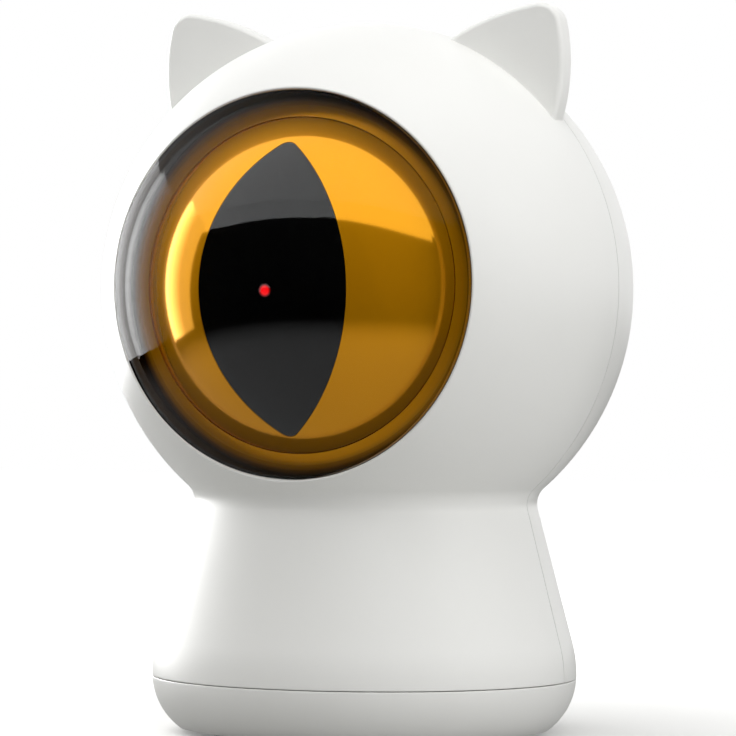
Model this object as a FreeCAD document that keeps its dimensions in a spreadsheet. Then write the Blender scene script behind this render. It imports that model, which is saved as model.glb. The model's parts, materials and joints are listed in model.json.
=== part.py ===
import FreeCAD, Part
import math
import os
import re
import Sketcher
from FreeCAD import Placement, Rotation, Vector

# Automatic laser toy with a round head, two ears and a flared foot.
# Millimetres, +Z up, the face looks along -Y. The origin is the middle of the rest plane.

sizes = {
    # outer skin: a sphere on a tapered foot
    "head_radius": 39.0,
    "head_height": 65.0,
    "foot_radius": 31.15,
    "widest_height": 8.7,
    "flare_radius": 19.0,
    "rounding_radius": 9.9,
    "taper_angle": 15.0,
    "neck_fillet": 3.0,
    "base_height": 0.8,
    "parting_height": 8.25,
    "wall": 2.0,
    "seam_offset": 0.6,
    "seam_gap": 0.16,
    "lip_thickness": 0.9,
    "lip_length": 2.5,
    "lip_start": 12.0,
    "lip_root_depth": 3.0,
    # clearances, and how far a cutter passes the face it cuts
    "fit_gap": 0.15,
    "turn_gap": 0.3,
    "shaft_gap": 0.04,
    "press_gap": 0.02,
    "cut_past": 1.0,
    # screws
    "thread_radius": 0.85,
    "screw_head_radius": 1.6,
    "screw_head_height": 1.0,
    "driver_reach": 1.12,
    "driver_width": 0.42,
    "boss_radius": 2.4,
    "boss_floor": 1.0,
    # eye
    "eye_radius": 27.5,
    "lens_thickness": 1.5,
    "pivot_forward": 5.5,
    "dome_radius": 30.0,
    "dome_edge": 23.6,
    "dome_thickness": 1.0,
    "pupil_half_width": 11.3,
    "pupil_arc": 25.3,
    "pupil_tip": 2.0,
    "pupil_drop": 0.7,
    "pupil_flange": 1.2,
    "pupil_flange_depth": 0.7,
    "seat_distance": 19.4,
    "seat_thickness": 1.5,
    "seat_inner": 24.2,
    "collar_thickness": 2.0,
    "flange_thickness": 1.6,
    "retainer_thickness": 1.5,
    "eye_screw_circle": 25.6,
    "eye_screw_bite": 1.8,
    "eye_pilot_spare": 0.2,
    "bezel_lip": 0.5,
    "bezel_slope": 0.9,
    # ears
    "ear_front": 3.6,
    "ear_thickness": 3.9,
    "ear_tip_across": 27.8,
    "ear_tip_up": 37.75,
    "ear_tip_radius": 3.4,
    "ear_top_radius": 36.7,
    "ear_top_turn": 98.8,
    "ear_top_run": 26.0,
    "ear_side_radius": 28.8,
    "ear_side_turn": 11.7,
    "ear_side_run": 33.0,
    "ear_edge": 0.8,
    "ear_turn": 35.0,
    "tenon_width": 8.0,
    "tenon_depth": 2.2,
    "tenon_foot": 1.5,
    "tenon_bury": 2.0,
    # bottom cover and feet
    "cover_floor": 2.2,
    "spigot_wall": 0.95,
    "spigot_top": 11.4,
    "lug_height": 1.0,
    "lug_low": 9.8,
    "lug_reach": 1.05,
    "lug_angle": 14.0,
    "entry_play": 2.0,
    "twist_angle": 30.0,
    "coin_slot_length": 14.0,
    "coin_slot_width": 2.0,
    "coin_slot_depth": 1.0,
    "foot_pad_radius": 3.5,
    "foot_pad_circle": 20.0,
    "foot_pad_sunk": 1.2,
    "cell_ring_radius": 13.0,
    "cell_ring_wall": 1.2,
    # battery tray
    "cell_radius": 5.25,
    "cell_length": 43.5,
    "cell_nub_radius": 1.9,
    "cell_nub_length": 1.0,
    "cell_pitch": 11.2,
    "cell_height": 14.3,
    "tray_wall": 1.0,
    "roof_thickness": 1.6,
    "contact_thickness": 0.4,
    "contact_width": 5.0,
    "contact_height": 6.0,
    "contact_gap": 0.7,
    "contact_foot_inset": 0.3,
    "contact_tip_inset": 0.2,
    "chassis_screw_across": 13.0,
    "chassis_screw_along": 19.6,
    "chassis_screw_bite": 6.0,
    "chassis_boss_height": 9.0,
    # main board
    "board_radius": 23.8,
    "board_thickness": 1.2,
    "standoff_height": 3.0,
    "standoff_radius": 2.1,
    "board_screw_across": 18.0,
    "board_screw_along": 7.0,
    "board_screw_spare": 0.4,
    "chip_side": 7.0,
    "chip_height": 1.0,
    "chip_across": 5.5,
    "chip_forward": 8.5,
    "lead_length": 6.0,
    "lead_width": 4.0,
    "lead_height": 4.5,
    "lead_wall": 0.6,
    "lead_floor": 1.0,
    "socket_width": 7.5,
    "socket_height": 2.7,
    "socket_depth": 6.9,
    "socket_wall": 0.4,
    "socket_back": 1.0,
    "socket_tongue_inset": 1.4,
    "socket_tongue_recess": 1.0,
    "socket_tongue_thickness": 0.6,
    "recess_width": 11.4,
    "recess_height": 7.6,
    "recess_wall": 1.2,
    "recess_bottom": 22.4,
    # mechanism frame
    "frame_height": 44.0,
    "plate_thickness": 2.0,
    "plate_radius": 18.5,
    "plate_shift": 2.0,
    "tab_screw_across": 22.0,
    "tab_screw_drop": 3.0,
    "tab_distance": 8.0,
    "tab_half_width": 2.5,
    "tab_thickness": 2.0,
    "tab_foot": 2.0,
    "tab_arm_front": 2.0,
    "tab_arm_back": 3.0,
    "frame_pilot_depth": 8.0,
    "frame_screw_length": 8.0,
    "tail_width": 8.0,
    "tail_reach": 28.5,
    "tail_rib_depth": 3.0,
    "rib_wall": 2.0,
    "shell_boss_radius": 2.6,
    "shell_pilot_depth": 9.0,
    "shell_screw_across": 27.5,
    "shell_screw_height": 48.0,
    "shell_screw_seat": 12.0,
    "shell_screw_bite": 7.0,
    # pan drive
    "gear_module": 0.5,
    "gear_backlash": 0.14,
    "gear_face": 2.5,
    "pressure_angle": 20.0,
    "tooth_root": 1.15,
    "tooth_tip": 0.8,
    "pan_gear_teeth": 48.0,
    "pinion_teeth": 12.0,
    "pinion_short": 0.4,
    "journal_radius": 4.0,
    "journal_bore": 2.2,
    "journal_end": 0.8,
    "bush_wall": 2.0,
    "bush_flange": 1.0,
    "bush_flange_reach": 2.0,
    "clip_thickness": 0.8,
    "clip_groove": 0.6,
    "clip_reach": 1.8,
    "clip_mouth": 3.0,
    "pan_motor_radius": 7.5,
    "pan_motor_length": 12.0,
    "pan_motor_cap": 0.8,
    "motor_shaft_radius": 0.75,
    "motor_shaft_bite": 1.8,
    "motor_bore_depth": 2.0,
    "motor_nose_radius": 2.5,
    "motor_nose_length": 1.0,
    "motor_screw_across": 5.5,
    "motor_screw_bite": 1.6,
    # yoke and tilt drive
    "yoke_radius": 11.5,
    "yoke_base": 2.0,
    "arm_inner": 8.3,
    "arm_thickness": 2.5,
    "arm_width": 8.0,
    "tilt_gear_teeth": 32.0,
    "tilt_shaft_radius": 1.0,
    "tilt_shaft_end": 0.3,
    "tilt_motor_radius": 5.0,
    "tilt_motor_length": 12.0,
    "tilt_motor_cap": 0.6,
    "saddle_wall": 1.2,
    "saddle_left_inset": 3.0,
    "saddle_right_inset": 1.0,
    "saddle_lip": 0.6,
    "saddle_window_wall": 2.0,
    "saddle_window_floor": 1.0,
    "saddle_window_roof": 1.5,
    # laser
    "holder_radius": 4.6,
    "holder_reach": 24.0,
    "hub_radius": 4.0,
    "gear_seat": 5.3,
    "barrel_radius": 3.0,
    "barrel_reach": 27.0,
    "barrel_length": 14.0,
    "laser_lens_radius": 2.2,
    "laser_lens_thickness": 1.0,
    "laser_lens_inset": 0.5,
    "laser_board_thickness": 0.8,
    "beam_radius": 1.32,
    "lead_way_width": 2.4,
    # button at the back of the head
    "button_radius": 4.95,
    "button_clearance": 0.2,
    "button_flange": 6.0,
    "sleeve_wall": 1.4,
    "sleeve_end": 33.2,
    "flange_depth": 0.9,
    "button_board_face": 27.2,
    "button_board_width": 18.0,
    "button_board_height": 21.5,
    "button_board_tail": 3.2,
    "post_radius": 1.9,
    "post_across": 6.9,
    "post_rise": 5.0,
    "post_drop": 1.0,
    "post_pilot_depth": 6.0,
    "post_screw_bite": 4.0,
    "switch_side": 6.0,
    "switch_height": 3.0,
    "switch_well_depth": 1.4,
    "stem_radius": 1.5,
    "plunger_radius": 1.7,
    "plunger_length": 1.4,
    "plunger_rise": 0.8,
    "led_width": 1.6,
    "led_length": 1.0,
    "led_height": 0.8,
    "light_drop": 11.0,
    "light_radius": 1.0,
    "light_pipe_lift": 1.0,
}

doc = FreeCAD.newDocument("laser_toy")
sheet = doc.addObject("Spreadsheet::Sheet", "dims")
for row, (alias, size) in enumerate(sizes.items(), start=1):
    sheet.set(f"A{row}", alias)
    sheet.set(f"B{row}", str(size))
    sheet.setAlias(f"B{row}", alias)
doc.recompute()
parts = []

# Places that follow from the sizes. A formula may use these names like the sheet's own.
derived = {
    "lens_lip": "sqrt((head_radius - lens_thickness)^2 - eye_radius^2)",
    "dome_edge_distance": "pivot_forward + sqrt(dome_radius^2 - dome_edge^2)",
    "roof_bottom": "cell_height + cell_radius + fit_gap",
    "roof_top": "roof_bottom + roof_thickness",
    "board_bottom": "roof_top + standoff_height",
    "board_top": "board_bottom + board_thickness",
    "rib_top": "frame_height + plate_thickness + fit_gap + rib_wall",
}


def formula(text):
    """Put each derived place's own formula in, and give each sheet name its full reference."""
    def named(word):
        name = word.group()
        if name in derived:
            return "(" + formula(derived[name]) + ")"
        return "dims." + name if name in sizes else name
    return re.sub(r"[a-z_]\w*", named, text)


def value(text):
    return float(sheet.evalExpression(formula(text)))


def bind(item, **formulas):
    for name, text in formulas.items():
        item.setExpression(name, formula(text))


def move(item, x, y, z):
    for axis, text in zip("xyz", (x, y, z)):
        item.setExpression("Placement.Base." + axis, formula(text))


# Axis names for round solids: up, down, forward (towards the face), back and across (+X).
turns = {
    "up": Rotation(),
    "down": Rotation(Vector(1, 0, 0), 180),
    "forward": Rotation(Vector(1, 0, 0), 90),
    "back": Rotation(Vector(1, 0, 0), -90),
    "across": Rotation(Vector(0, 1, 0), 90),
}
opposites = {"up": "down", "down": "up", "forward": "back", "back": "forward"}
directions = {"up": (0, 0, 1), "down": (0, 0, -1), "forward": (0, -1, 0), "back": (0, 1, 0)}


def cylinder(name, radius, length, x, y, z, axis="up"):
    item = doc.addObject("Part::Cylinder", name)
    bind(item, Radius=radius, Height=length)
    item.Placement.Rotation = turns[axis]
    move(item, x, y, z)
    return item


def cone(name, radius, end_radius, length, x, y, z, axis="up"):
    item = doc.addObject("Part::Cone", name)
    bind(item, Radius1=radius, Radius2=end_radius, Height=length)
    item.Placement.Rotation = turns[axis]
    move(item, x, y, z)
    return item


def sphere(name, radius, x, y, z):
    item = doc.addObject("Part::Sphere", name)
    bind(item, Radius=radius)
    move(item, x, y, z)
    return item


def box(name, low_x, high_x, low_y, high_y, low_z, high_z):
    item = doc.addObject("Part::Box", name)
    bind(item, Length=f"({high_x}) - ({low_x})", Width=f"({high_y}) - ({low_y})",
         Height=f"({high_z}) - ({low_z})")
    move(item, low_x, low_y, low_z)
    return item


def fuse(name, *items):
    if len(items) == 1:
        return items[0]
    result = doc.addObject("Part::MultiFuse", name)
    result.Shapes = list(items)
    return result


def common(name, *items):
    result = doc.addObject("Part::MultiCommon", name)
    result.Shapes = list(items)
    return result


def cut(name, base, *tools):
    result = doc.addObject("Part::Cut", name)
    result.Base = base
    result.Tool = fuse(name + "_tools", *tools)
    return result


def group(name, items):
    result = doc.addObject("Part::Compound", name)
    result.Links = items
    return result


def leaned(name, item, side):
    """Lean an upright solid at the head's centre outwards to an ear, left (-1) or right (1)."""
    result = group(name, [item])
    result.Placement.Rotation = Rotation(Vector(0, side, 0), value("ear_turn"))
    result.setExpression("Placement.Rotation.Angle", formula("ear_turn"))
    move(result, "0", "0", "head_height")
    return result


def part(item, label):
    item.Label = label
    parts.append(item)
    return item


def outline(body, plane, corners, offset="0"):
    """Draw a closed chain. A corner is (x, y), or (x, y, radius) where an arc runs to the next
    corner; a radius below zero turns clockwise. Every corner and radius is bound to the sheet."""
    sketch = body.newObject("Sketcher::SketchObject", body.Name + "_sketch")
    planes = {item.Role: item for item in body.Origin.OriginFeatures}
    sketch.AttachmentSupport = [(planes[plane], "")]
    sketch.MapMode = "FlatFace"
    bind(sketch, **{"AttachmentOffset.Base.z": offset})
    points = [Vector(value(corner[0]), value(corner[1]), 0) for corner in corners]
    ends = []
    for index, corner in enumerate(corners):
        start = points[index]
        end = points[(index + 1) % len(points)]
        if len(corner) == 2:
            sketch.addGeometry(Part.LineSegment(start, end), False)
            ends.append((1, 2))
            continue
        radius = value(corner[2])
        chord = end - start
        rise = math.sqrt(max(radius ** 2 - (chord.Length / 2) ** 2, 0))
        side = Vector(-chord.y, chord.x, 0).normalize() * math.copysign(rise, radius)
        centre = (start + end) / 2 + side
        angles = [math.atan2(p.y - centre.y, p.x - centre.x) for p in (start, end)]
        if radius < 0:
            angles.reverse()
        circle = Part.Circle(centre, Vector(0, 0, 1), abs(radius))
        sketch.addGeometry(Part.ArcOfCircle(circle, angles[0], angles[1]), False)
        ends.append((1, 2) if radius > 0 else (2, 1))
    for index, corner in enumerate(corners):
        before = index - 1 if index else len(corners) - 1
        sketch.addConstraint(Sketcher.Constraint("Coincident", before, ends[before][1], index, ends[index][0]))
        for kind, text in (("DistanceX", corner[0]), ("DistanceY", corner[1])):
            number = sketch.addConstraint(
                Sketcher.Constraint(kind, -1, 1, index, ends[index][0], value(text)))
            sketch.setExpression(f"Constraints[{number}]", formula(text))
        if len(corner) == 3:
            number = sketch.addConstraint(Sketcher.Constraint("Radius", index, abs(value(corner[2]))))
            sketch.setExpression(f"Constraints[{number}]", formula(f"abs({corner[2]})"))
    return sketch


def prism(name, plane, corners, length, offset="0", back=False):
    """Pad an outline. On the XZ plane a positive offset lies in front, and back pads away from it."""
    body = doc.addObject("PartDesign::Body", name)
    sketch = outline(body, plane, corners, offset)
    pad = body.newObject("PartDesign::Pad", name + "_pad")
    pad.Profile = sketch
    pad.Reversed = back
    bind(pad, Length=length)
    return body


def turning(name, corners):
    """Revolve an outline on the XZ plane about the vertical axis."""
    body = doc.addObject("PartDesign::Body", name)
    sketch = outline(body, "XZ_Plane", corners)
    revolution = body.newObject("PartDesign::Revolution", name + "_turn")
    revolution.Profile = sketch
    revolution.ReferenceAxis = (sketch, ["V_Axis"])
    revolution.Angle = 360
    return body


def screw(name, length, x, y, z, axis):
    """A pan-head screw whose head rests at the given place and whose thread runs along the axis."""
    shank = cylinder(name + "_thread", "thread_radius", length, x, y, z, axis)
    head = cylinder(name + "_head", "screw_head_radius", "screw_head_height", x, y, z, opposites[axis])
    outward = directions[opposites[axis]]
    top = [f"({place}) + {step} * screw_head_height" for place, step in zip((x, y, z), outward)]
    long, narrow, deep = "driver_reach", "driver_width / 2", "screw_head_height / 2"
    slots = []
    for number, (wide_x, wide_other) in enumerate(((long, narrow), (narrow, long))):
        limits = []
        for place, step, wide in zip(top, outward, (wide_x, wide_other, wide_other)):
            span = deep if step else wide
            limits += [f"{place} - {span}", f"{place} + {span}"]
        slots.append(box(f"{name}_slot{number}", *limits))
    return cut(name + "_driven", fuse(name, shank, head), *slots)


# ---- derived places, as formulas over the sheet

cos_taper = "cos(taper_angle * 1 deg)"
sin_taper = "sin(taper_angle * 1 deg)"
reach = "(2 * head_radius)"
front_seam = "(seam_offset - seam_gap / 2)"
rear_seam = "(seam_offset + seam_gap / 2)"
shell_bottom = "(parting_height + turn_gap / 2)"
cover_top = "(parting_height - turn_gap / 2)"
floor_top = "(base_height + cover_floor)"
spigot_radius = "(foot_radius - wall - 2 * turn_gap)"
void_radius = f"({spigot_radius} - spigot_wall)"
lug_radius = f"({spigot_radius} + lug_reach)"
groove_radius = f"({lug_radius} + turn_gap)"
lip_inset = "(wall + fit_gap + lip_thickness)"
clear_inset = "(wall + 2 * fit_gap + lip_thickness)"
socket_middle = "(board_top + socket_height / 2)"
plate_top = "(frame_height + plate_thickness)"
gear_bottom = f"({plate_top} + bush_flange + turn_gap)"
gear_top = f"({gear_bottom} + gear_face)"
base_top = f"({gear_top} + yoke_base)"
bush_bottom = "(frame_height - turn_gap * 2)"
clip_top = f"({bush_bottom} - turn_gap)"
pan_spacing = "(gear_module * (pan_gear_teeth + pinion_teeth) / 2)"
tilt_spacing = "(gear_module * (tilt_gear_teeth + pinion_teeth) / 2)"
pan_motor_y = f"({pan_spacing} - pivot_forward)"
tilt_motor_y = f"({tilt_spacing} - pivot_forward)"
arm_outer = "(arm_inner + arm_thickness)"
motor_face = "(gear_seat - turn_gap * 2)"
tail_shelf = "(frame_height - fit_gap)"


# ---- the outer skin and the layers inside it

def skin(name, inset, rounded=False):
    """Solid of revolution under the outer skin, smaller all round by the inset."""
    reach_out = (f"({cos_taper} * (foot_radius - flare_radius)"
                 f" + {sin_taper} * (widest_height - head_height) + flare_radius + neck_fillet)")
    fall = f"sqrt((head_radius + neck_fillet)^2 - {reach_out}^2)"
    fillet_x = f"({reach_out} * {cos_taper} + {fall} * {sin_taper})"
    fillet_z = f"(head_height + {reach_out} * {sin_taper} - {fall} * {cos_taper})"
    share = f"((head_radius - {inset}) / (head_radius + neck_fillet))"
    corners = [
        ("0", f"head_height + head_radius - {inset}", f"-(head_radius - {inset})"),
        (f"{fillet_x} * {share}", f"head_height + ({fillet_z} - head_height) * {share}",
         f"neck_fillet + {inset}"),
        (f"{fillet_x} - (neck_fillet + {inset}) * {cos_taper}",
         f"{fillet_z} - (neck_fillet + {inset}) * {sin_taper}"),
        (f"foot_radius - flare_radius + (flare_radius - {inset}) * {cos_taper}",
         f"widest_height + (flare_radius - {inset}) * {sin_taper}", f"-(flare_radius - {inset})"),
    ]
    if rounded:
        drop = "(widest_height - base_height)"
        corners.append((f"foot_radius - {inset}", "widest_height", "-rounding_radius"))
        corners.append((f"foot_radius - rounding_radius + sqrt(rounding_radius^2 - {drop}^2)", "base_height"))
    else:
        corners.append((f"foot_radius - {inset}", "widest_height"))
        corners.append((f"foot_radius - {inset}", "base_height"))
    corners.append(("0", "base_height"))
    return turning(name, corners)


skin_outer = skin("skin_outer", "0", rounded=True)
skin_middle = skin("skin_middle", "(wall / 2)")
skin_inner = skin("skin_inner", "wall")
skin_tongue = skin("skin_tongue", "(wall + fit_gap)")
skin_lip = skin("skin_lip", lip_inset)
skin_clear = skin("skin_clear", clear_inset)


def slab(name, low_y, high_y, low_z, high_z):
    return box(name, f"-{reach}", reach, low_y, high_y, low_z, high_z)


# ---- tools that cut both shells

lug_count = 3


def lug_middle(number):
    """Angle of a lug's middle when the cover is locked."""
    return 360 / lug_count * number + 90


def turn_to(item, angle):
    """Turn an upright sector about the vertical axis to an angle from the sheet."""
    item.Placement.Rotation = Rotation(Vector(0, 0, 1), value(angle))
    item.setExpression("Placement.Rotation.Angle", formula(angle))


def bayonet_tools(tag):
    """The groove for the cover's lugs, with a way in from below for each."""
    ring = cylinder(tag + "_groove", groove_radius, "lug_height + 2 * turn_gap",
                    "0", "0", "lug_low - turn_gap")
    tools = [ring]
    for number in range(lug_count):
        entry = cylinder(f"{tag}_entry{number}", groove_radius,
                         "lug_low - base_height", "0", "0", "base_height")
        bind(entry, Angle="lug_angle + 2 * entry_play")
        turn_to(entry, f"{lug_middle(number)} - twist_angle - lug_angle / 2 - entry_play")
        tools.append(entry)
    return tools


def tenon(name, gap, far):
    """The ear's tongue with its wide foot, upright at the head's centre. It ends at the far plane."""
    half = f"(tenon_width / 2 + {gap})"
    near = f"({tongue_back} - tenon_depth - {gap})"
    under = "(head_radius - wall - fit_gap)"
    neck = box(name + "_neck", f"-{half}", half, near, far, f"{under} - tenon_foot",
               "head_radius + tenon_bury")
    foot = box(name + "_foot", f"-{half} - tenon_foot", f"{half} + tenon_foot", near, far,
               f"{under} - tenon_foot - {gap}", under)
    return fuse(name, neck, foot)


def ear_slots():
    """Slots in the front shell, open at the seam: the tongue slides in and the rear shell shuts it in."""
    slots = []
    for side, name in sides:
        slots.append(leaned(f"{name}_slot", tenon(f"{name}_mortise", "fit_gap", slot_end), side))
    return slots


pilot = "(thread_radius + shaft_gap)"
pass_hole = "(thread_radius + fit_gap)"
tab_z = "(frame_height - tab_screw_drop)"
tongue_back = f"min(ear_thickness - ear_front, {front_seam})"
slot_end = f"({rear_seam} + lip_length + fit_gap)"
sides = ((-1, "left"), (1, "right"))
diagonals = (45, 135, 225, 315)


def eye_screw_place(angle):
    x = f"eye_screw_circle * cos({angle} * 1 deg)"
    z = f"head_height + eye_screw_circle * sin({angle} * 1 deg)"
    return x, z


# ---- casings

def make_front_shell():
    wall_layer = cut("front_layer", skin_outer, skin_inner)
    wall_front = common("front_wall", wall_layer, slab("front_half", f"-{reach}", front_seam,
                                                       shell_bottom, f"2 * {reach}"))
    root = common("lip_root", cut("lip_root_layer", skin_middle, skin_lip),
                  slab("lip_root_half", "seam_offset - lip_root_depth", front_seam,
                       "lip_start", f"2 * {reach}"))
    tongue = common("lip_tongue", cut("lip_tongue_layer", skin_tongue, skin_lip),
                    slab("lip_tongue_half", "seam_offset - lip_root_depth", f"{rear_seam} + lip_length",
                         "lip_start", f"2 * {reach}"))
    added = [cylinder("eye_collar", "eye_radius + collar_thickness", reach, "0",
                      "-(seat_distance - seat_thickness)", "head_height", "forward")]
    tools = [
        cylinder("eye_bore", "eye_radius", reach, "0", "-seat_distance", "head_height", "forward"),
        cylinder("seat_bore", "seat_inner", reach, "0", "0", "head_height", "forward"),
    ]
    for side, name in sides:
        added.append(cylinder(f"front_shell_boss_{name}", "shell_boss_radius", reach,
                              f"{side} * shell_screw_across", front_seam, "shell_screw_height", "forward"))
        tools.append(cylinder(f"front_shell_pilot_{name}", pilot, "shell_pilot_depth",
                              f"{side} * shell_screw_across", front_seam, "shell_screw_height", "forward"))
        added.append(cylinder(f"frame_boss_{name}", "boss_radius", reach,
                              f"{side} * tab_screw_across", "-tab_distance", tab_z, "forward"))
        tools.append(cylinder(f"frame_pilot_{name}", pilot, "frame_pilot_depth",
                              f"{side} * tab_screw_across", "-tab_distance", tab_z, "forward"))
        added.append(cylinder(f"front_chassis_boss_{name}", "boss_radius", "chassis_boss_height",
                              f"{side} * chassis_screw_across", "-chassis_screw_along", "roof_top"))
        tools.append(cylinder(f"front_chassis_pilot_{name}", pilot, "chassis_boss_height - boss_floor",
                              f"{side} * chassis_screw_across", "-chassis_screw_along", "roof_top"))
    for angle in diagonals:
        x, z = eye_screw_place(angle)
        tools.append(cylinder(f"seat_hole_{angle}", pass_hole, "seat_thickness + 2 * cut_past", x,
                              "-(seat_distance - seat_thickness - cut_past)", z, "forward"))
    tools += bayonet_tools("front")
    tools += ear_slots()
    inside = common("front_inside", fuse("front_added", *added), skin_outer)
    body = fuse("front_body", wall_front, root, tongue, inside)
    part(cut("front_shell", body, *tools), "front_shell")


def make_rear_shell():
    wall_layer = cut("rear_layer", skin_outer, skin_inner)
    wall_rear = common("rear_wall", wall_layer, slab("rear_half", rear_seam, reach,
                                                     shell_bottom, f"2 * {reach}"))
    half_width = "(recess_width / 2)"
    half_height = "(recess_height / 2)"
    added = [
        cylinder("button_sleeve", "button_radius + button_clearance + sleeve_wall", reach,
                 "0", "sleeve_end", "head_height", "back"),
        box("usb_duct", f"-{half_width} - recess_wall", f"{half_width} + recess_wall",
            "recess_bottom - recess_wall", reach,
            f"{socket_middle} - {half_height} - recess_wall",
            f"{socket_middle} + {half_height} + recess_wall"),
        box("tail_rib", "-tail_width / 2 - rib_wall", "tail_width / 2 + rib_wall",
            "tail_reach - tail_rib_depth", reach, f"{tail_shelf} - rib_wall", "rib_top"),
    ]
    tools = [
        cylinder("button_hole", "button_radius + button_clearance", reach, "0", "0",
                 "head_height", "back"),
        cylinder("light_hole", "light_radius + fit_gap", reach, "0", "button_board_face",
                 "head_height - light_drop", "back"),
        box("usb_recess", f"-{half_width}", half_width, "recess_bottom", reach,
            f"{socket_middle} - {half_height}", f"{socket_middle} + {half_height}"),
        box("usb_way", "-(socket_width / 2 + fit_gap)", "socket_width / 2 + fit_gap",
            "recess_bottom - recess_wall - cut_past", "recess_bottom + cut_past",
            "board_top - fit_gap", "board_top + socket_height + fit_gap"),
        box("tail_slot", "-tail_width / 2 - fit_gap", "tail_width / 2 + fit_gap", "0",
            "tail_reach + fit_gap", tail_shelf, f"{plate_top} + fit_gap"),
    ]
    for side, name in sides:
        x = f"{side} * shell_screw_across"
        added.append(cylinder(f"rear_shell_boss_{name}", "shell_boss_radius", reach,
                              x, rear_seam, "shell_screw_height", "back"))
        tools.append(cylinder(f"rear_shell_hole_{name}", pass_hole, reach,
                              x, "0", "shell_screw_height", "back"))
        tools.append(cylinder(f"rear_shell_well_{name}", "screw_head_radius + turn_gap", reach,
                              x, "shell_screw_seat", "shell_screw_height", "back"))
        added.append(cylinder(f"rear_chassis_boss_{name}", "boss_radius", "chassis_boss_height",
                              f"{side} * chassis_screw_across", "chassis_screw_along", "roof_top"))
        tools.append(cylinder(f"rear_chassis_pilot_{name}", pilot, "chassis_boss_height - boss_floor",
                              f"{side} * chassis_screw_across", "chassis_screw_along", "roof_top"))
    for number, (x, z) in enumerate(button_posts):
        added.append(cylinder(f"button_post{number}", "post_radius", reach, x, "button_board_face", z, "back"))
        tools.append(cylinder(f"button_post_pilot{number}", pilot, "post_pilot_depth", x,
                              "button_board_face", z, "back"))
    tools += bayonet_tools("rear")
    inside = common("rear_inside", fuse("rear_added", *added), skin_outer)
    body = fuse("rear_body", wall_rear, inside)
    part(cut("rear_shell", body, *tools), "rear_shell")


button_posts = (
    ("-post_across", "head_height + post_rise"),
    ("post_across", "head_height - light_drop - post_drop"),
)


def make_shell_screws():
    screws = []
    for side, name in sides:
        screws.append(screw(f"shell_screw_{name}", "shell_screw_seat + shell_screw_bite",
                            f"{side} * shell_screw_across", "shell_screw_seat",
                            "shell_screw_height", "forward"))
    part(group("shell_screws", screws), "shell_screws")


# ---- eye

def make_lens_cover():
    disc = cylinder("lens_disc", "eye_radius - fit_gap", reach, "0", "-pivot_forward", "head_height", "forward")
    outer = sphere("lens_outer", "head_radius", "0", "0", "head_height")
    inner = sphere("lens_inner", "head_radius - lens_thickness", "0", "0", "head_height")
    part(cut("lens_cover", common("lens_blank", disc, outer), inner), "lens_cover")


def make_eye_bezel():
    """Ring behind the clear cover. Its front falls away from the gold dome's edge to a thin outer lip,
    which reaches forward and carries the cover."""
    lip_radius = "(eye_radius - fit_gap - bezel_lip)"
    crown_foot = "(dome_edge_distance - bezel_slope)"
    ring = cylinder("bezel_ring", "eye_radius - fit_gap", reach, "0",
                    "-(seat_distance + flange_thickness)", "head_height", "forward")
    seat = sphere("bezel_seat", "head_radius - lens_thickness", "0", "0", "head_height")
    mouth = cylinder("bezel_mouth", lip_radius, reach, "0", f"-{crown_foot}", "head_height", "forward")
    crown = cone("bezel_crown", lip_radius, "dome_edge + fit_gap", "bezel_slope",
                 "0", f"-{crown_foot}", "head_height", "forward")
    bore = cylinder("bezel_bore", "dome_edge + fit_gap", reach, "0", "0", "head_height", "forward")
    pilots = []
    for angle in diagonals:
        x, z = eye_screw_place(angle)
        pilots.append(cylinder(f"bezel_pilot_{angle}", pilot, "eye_screw_bite + eye_pilot_spare", x,
                               "-(seat_distance + flange_thickness)", z, "forward"))
    part(cut("eye_bezel", common("bezel_blank", ring, seat), cut("bezel_room", mouth, crown), bore, *pilots),
         "eye_bezel")


def pupil_outline(grow):
    """Pointed oval: two side arcs that meet in small rounded tips."""
    tip_up = "sqrt((pupil_arc - pupil_tip)^2 - (pupil_arc - pupil_half_width)^2)"
    share = f"((pupil_arc + {grow}) / (pupil_arc - pupil_tip))"
    x = f"((pupil_arc - pupil_half_width) * {share} - (pupil_arc - pupil_half_width))"
    z = f"({tip_up} * {share})"
    middle = "(head_height - pupil_drop)"
    return [
        (x, f"{middle} - {z}", f"pupil_arc + {grow}"),
        (x, f"{middle} + {z}", f"pupil_tip + {grow}"),
        (f"-{x}", f"{middle} + {z}", f"pupil_arc + {grow}"),
        (f"-{x}", f"{middle} - {z}", f"pupil_tip + {grow}"),
    ]


def dome_sphere(name, inset):
    return sphere(name, f"dome_radius - {inset}", "0", "-pivot_forward", "head_height")


def make_iris_dome():
    skirt = cylinder("iris_skirt", "dome_edge", reach, "0", "-seat_distance", "head_height", "forward")
    front = common("iris_front", skirt, dome_sphere("iris_outer", "0"))
    flange = cylinder("iris_flange", "eye_radius - fit_gap", "flange_thickness", "0",
                      "-seat_distance", "head_height", "forward")
    hollow = common("iris_hollow", dome_sphere("iris_inner", "dome_thickness"),
                    cylinder("iris_bore", "dome_edge - dome_thickness", reach, "0", "0",
                             "head_height", "forward"))
    window = prism("iris_window", "XZ_Plane", pupil_outline("0"), reach, "seat_distance")
    holes = []
    for angle in diagonals:
        x, z = eye_screw_place(angle)
        holes.append(cylinder(f"iris_hole_{angle}", pass_hole, "flange_thickness + 2 * cut_past", x,
                              "-(seat_distance - cut_past)", z, "forward"))
    part(cut("iris_dome", fuse("iris_blank", front, flange), hollow, window, *holes), "iris_dome")


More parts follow.
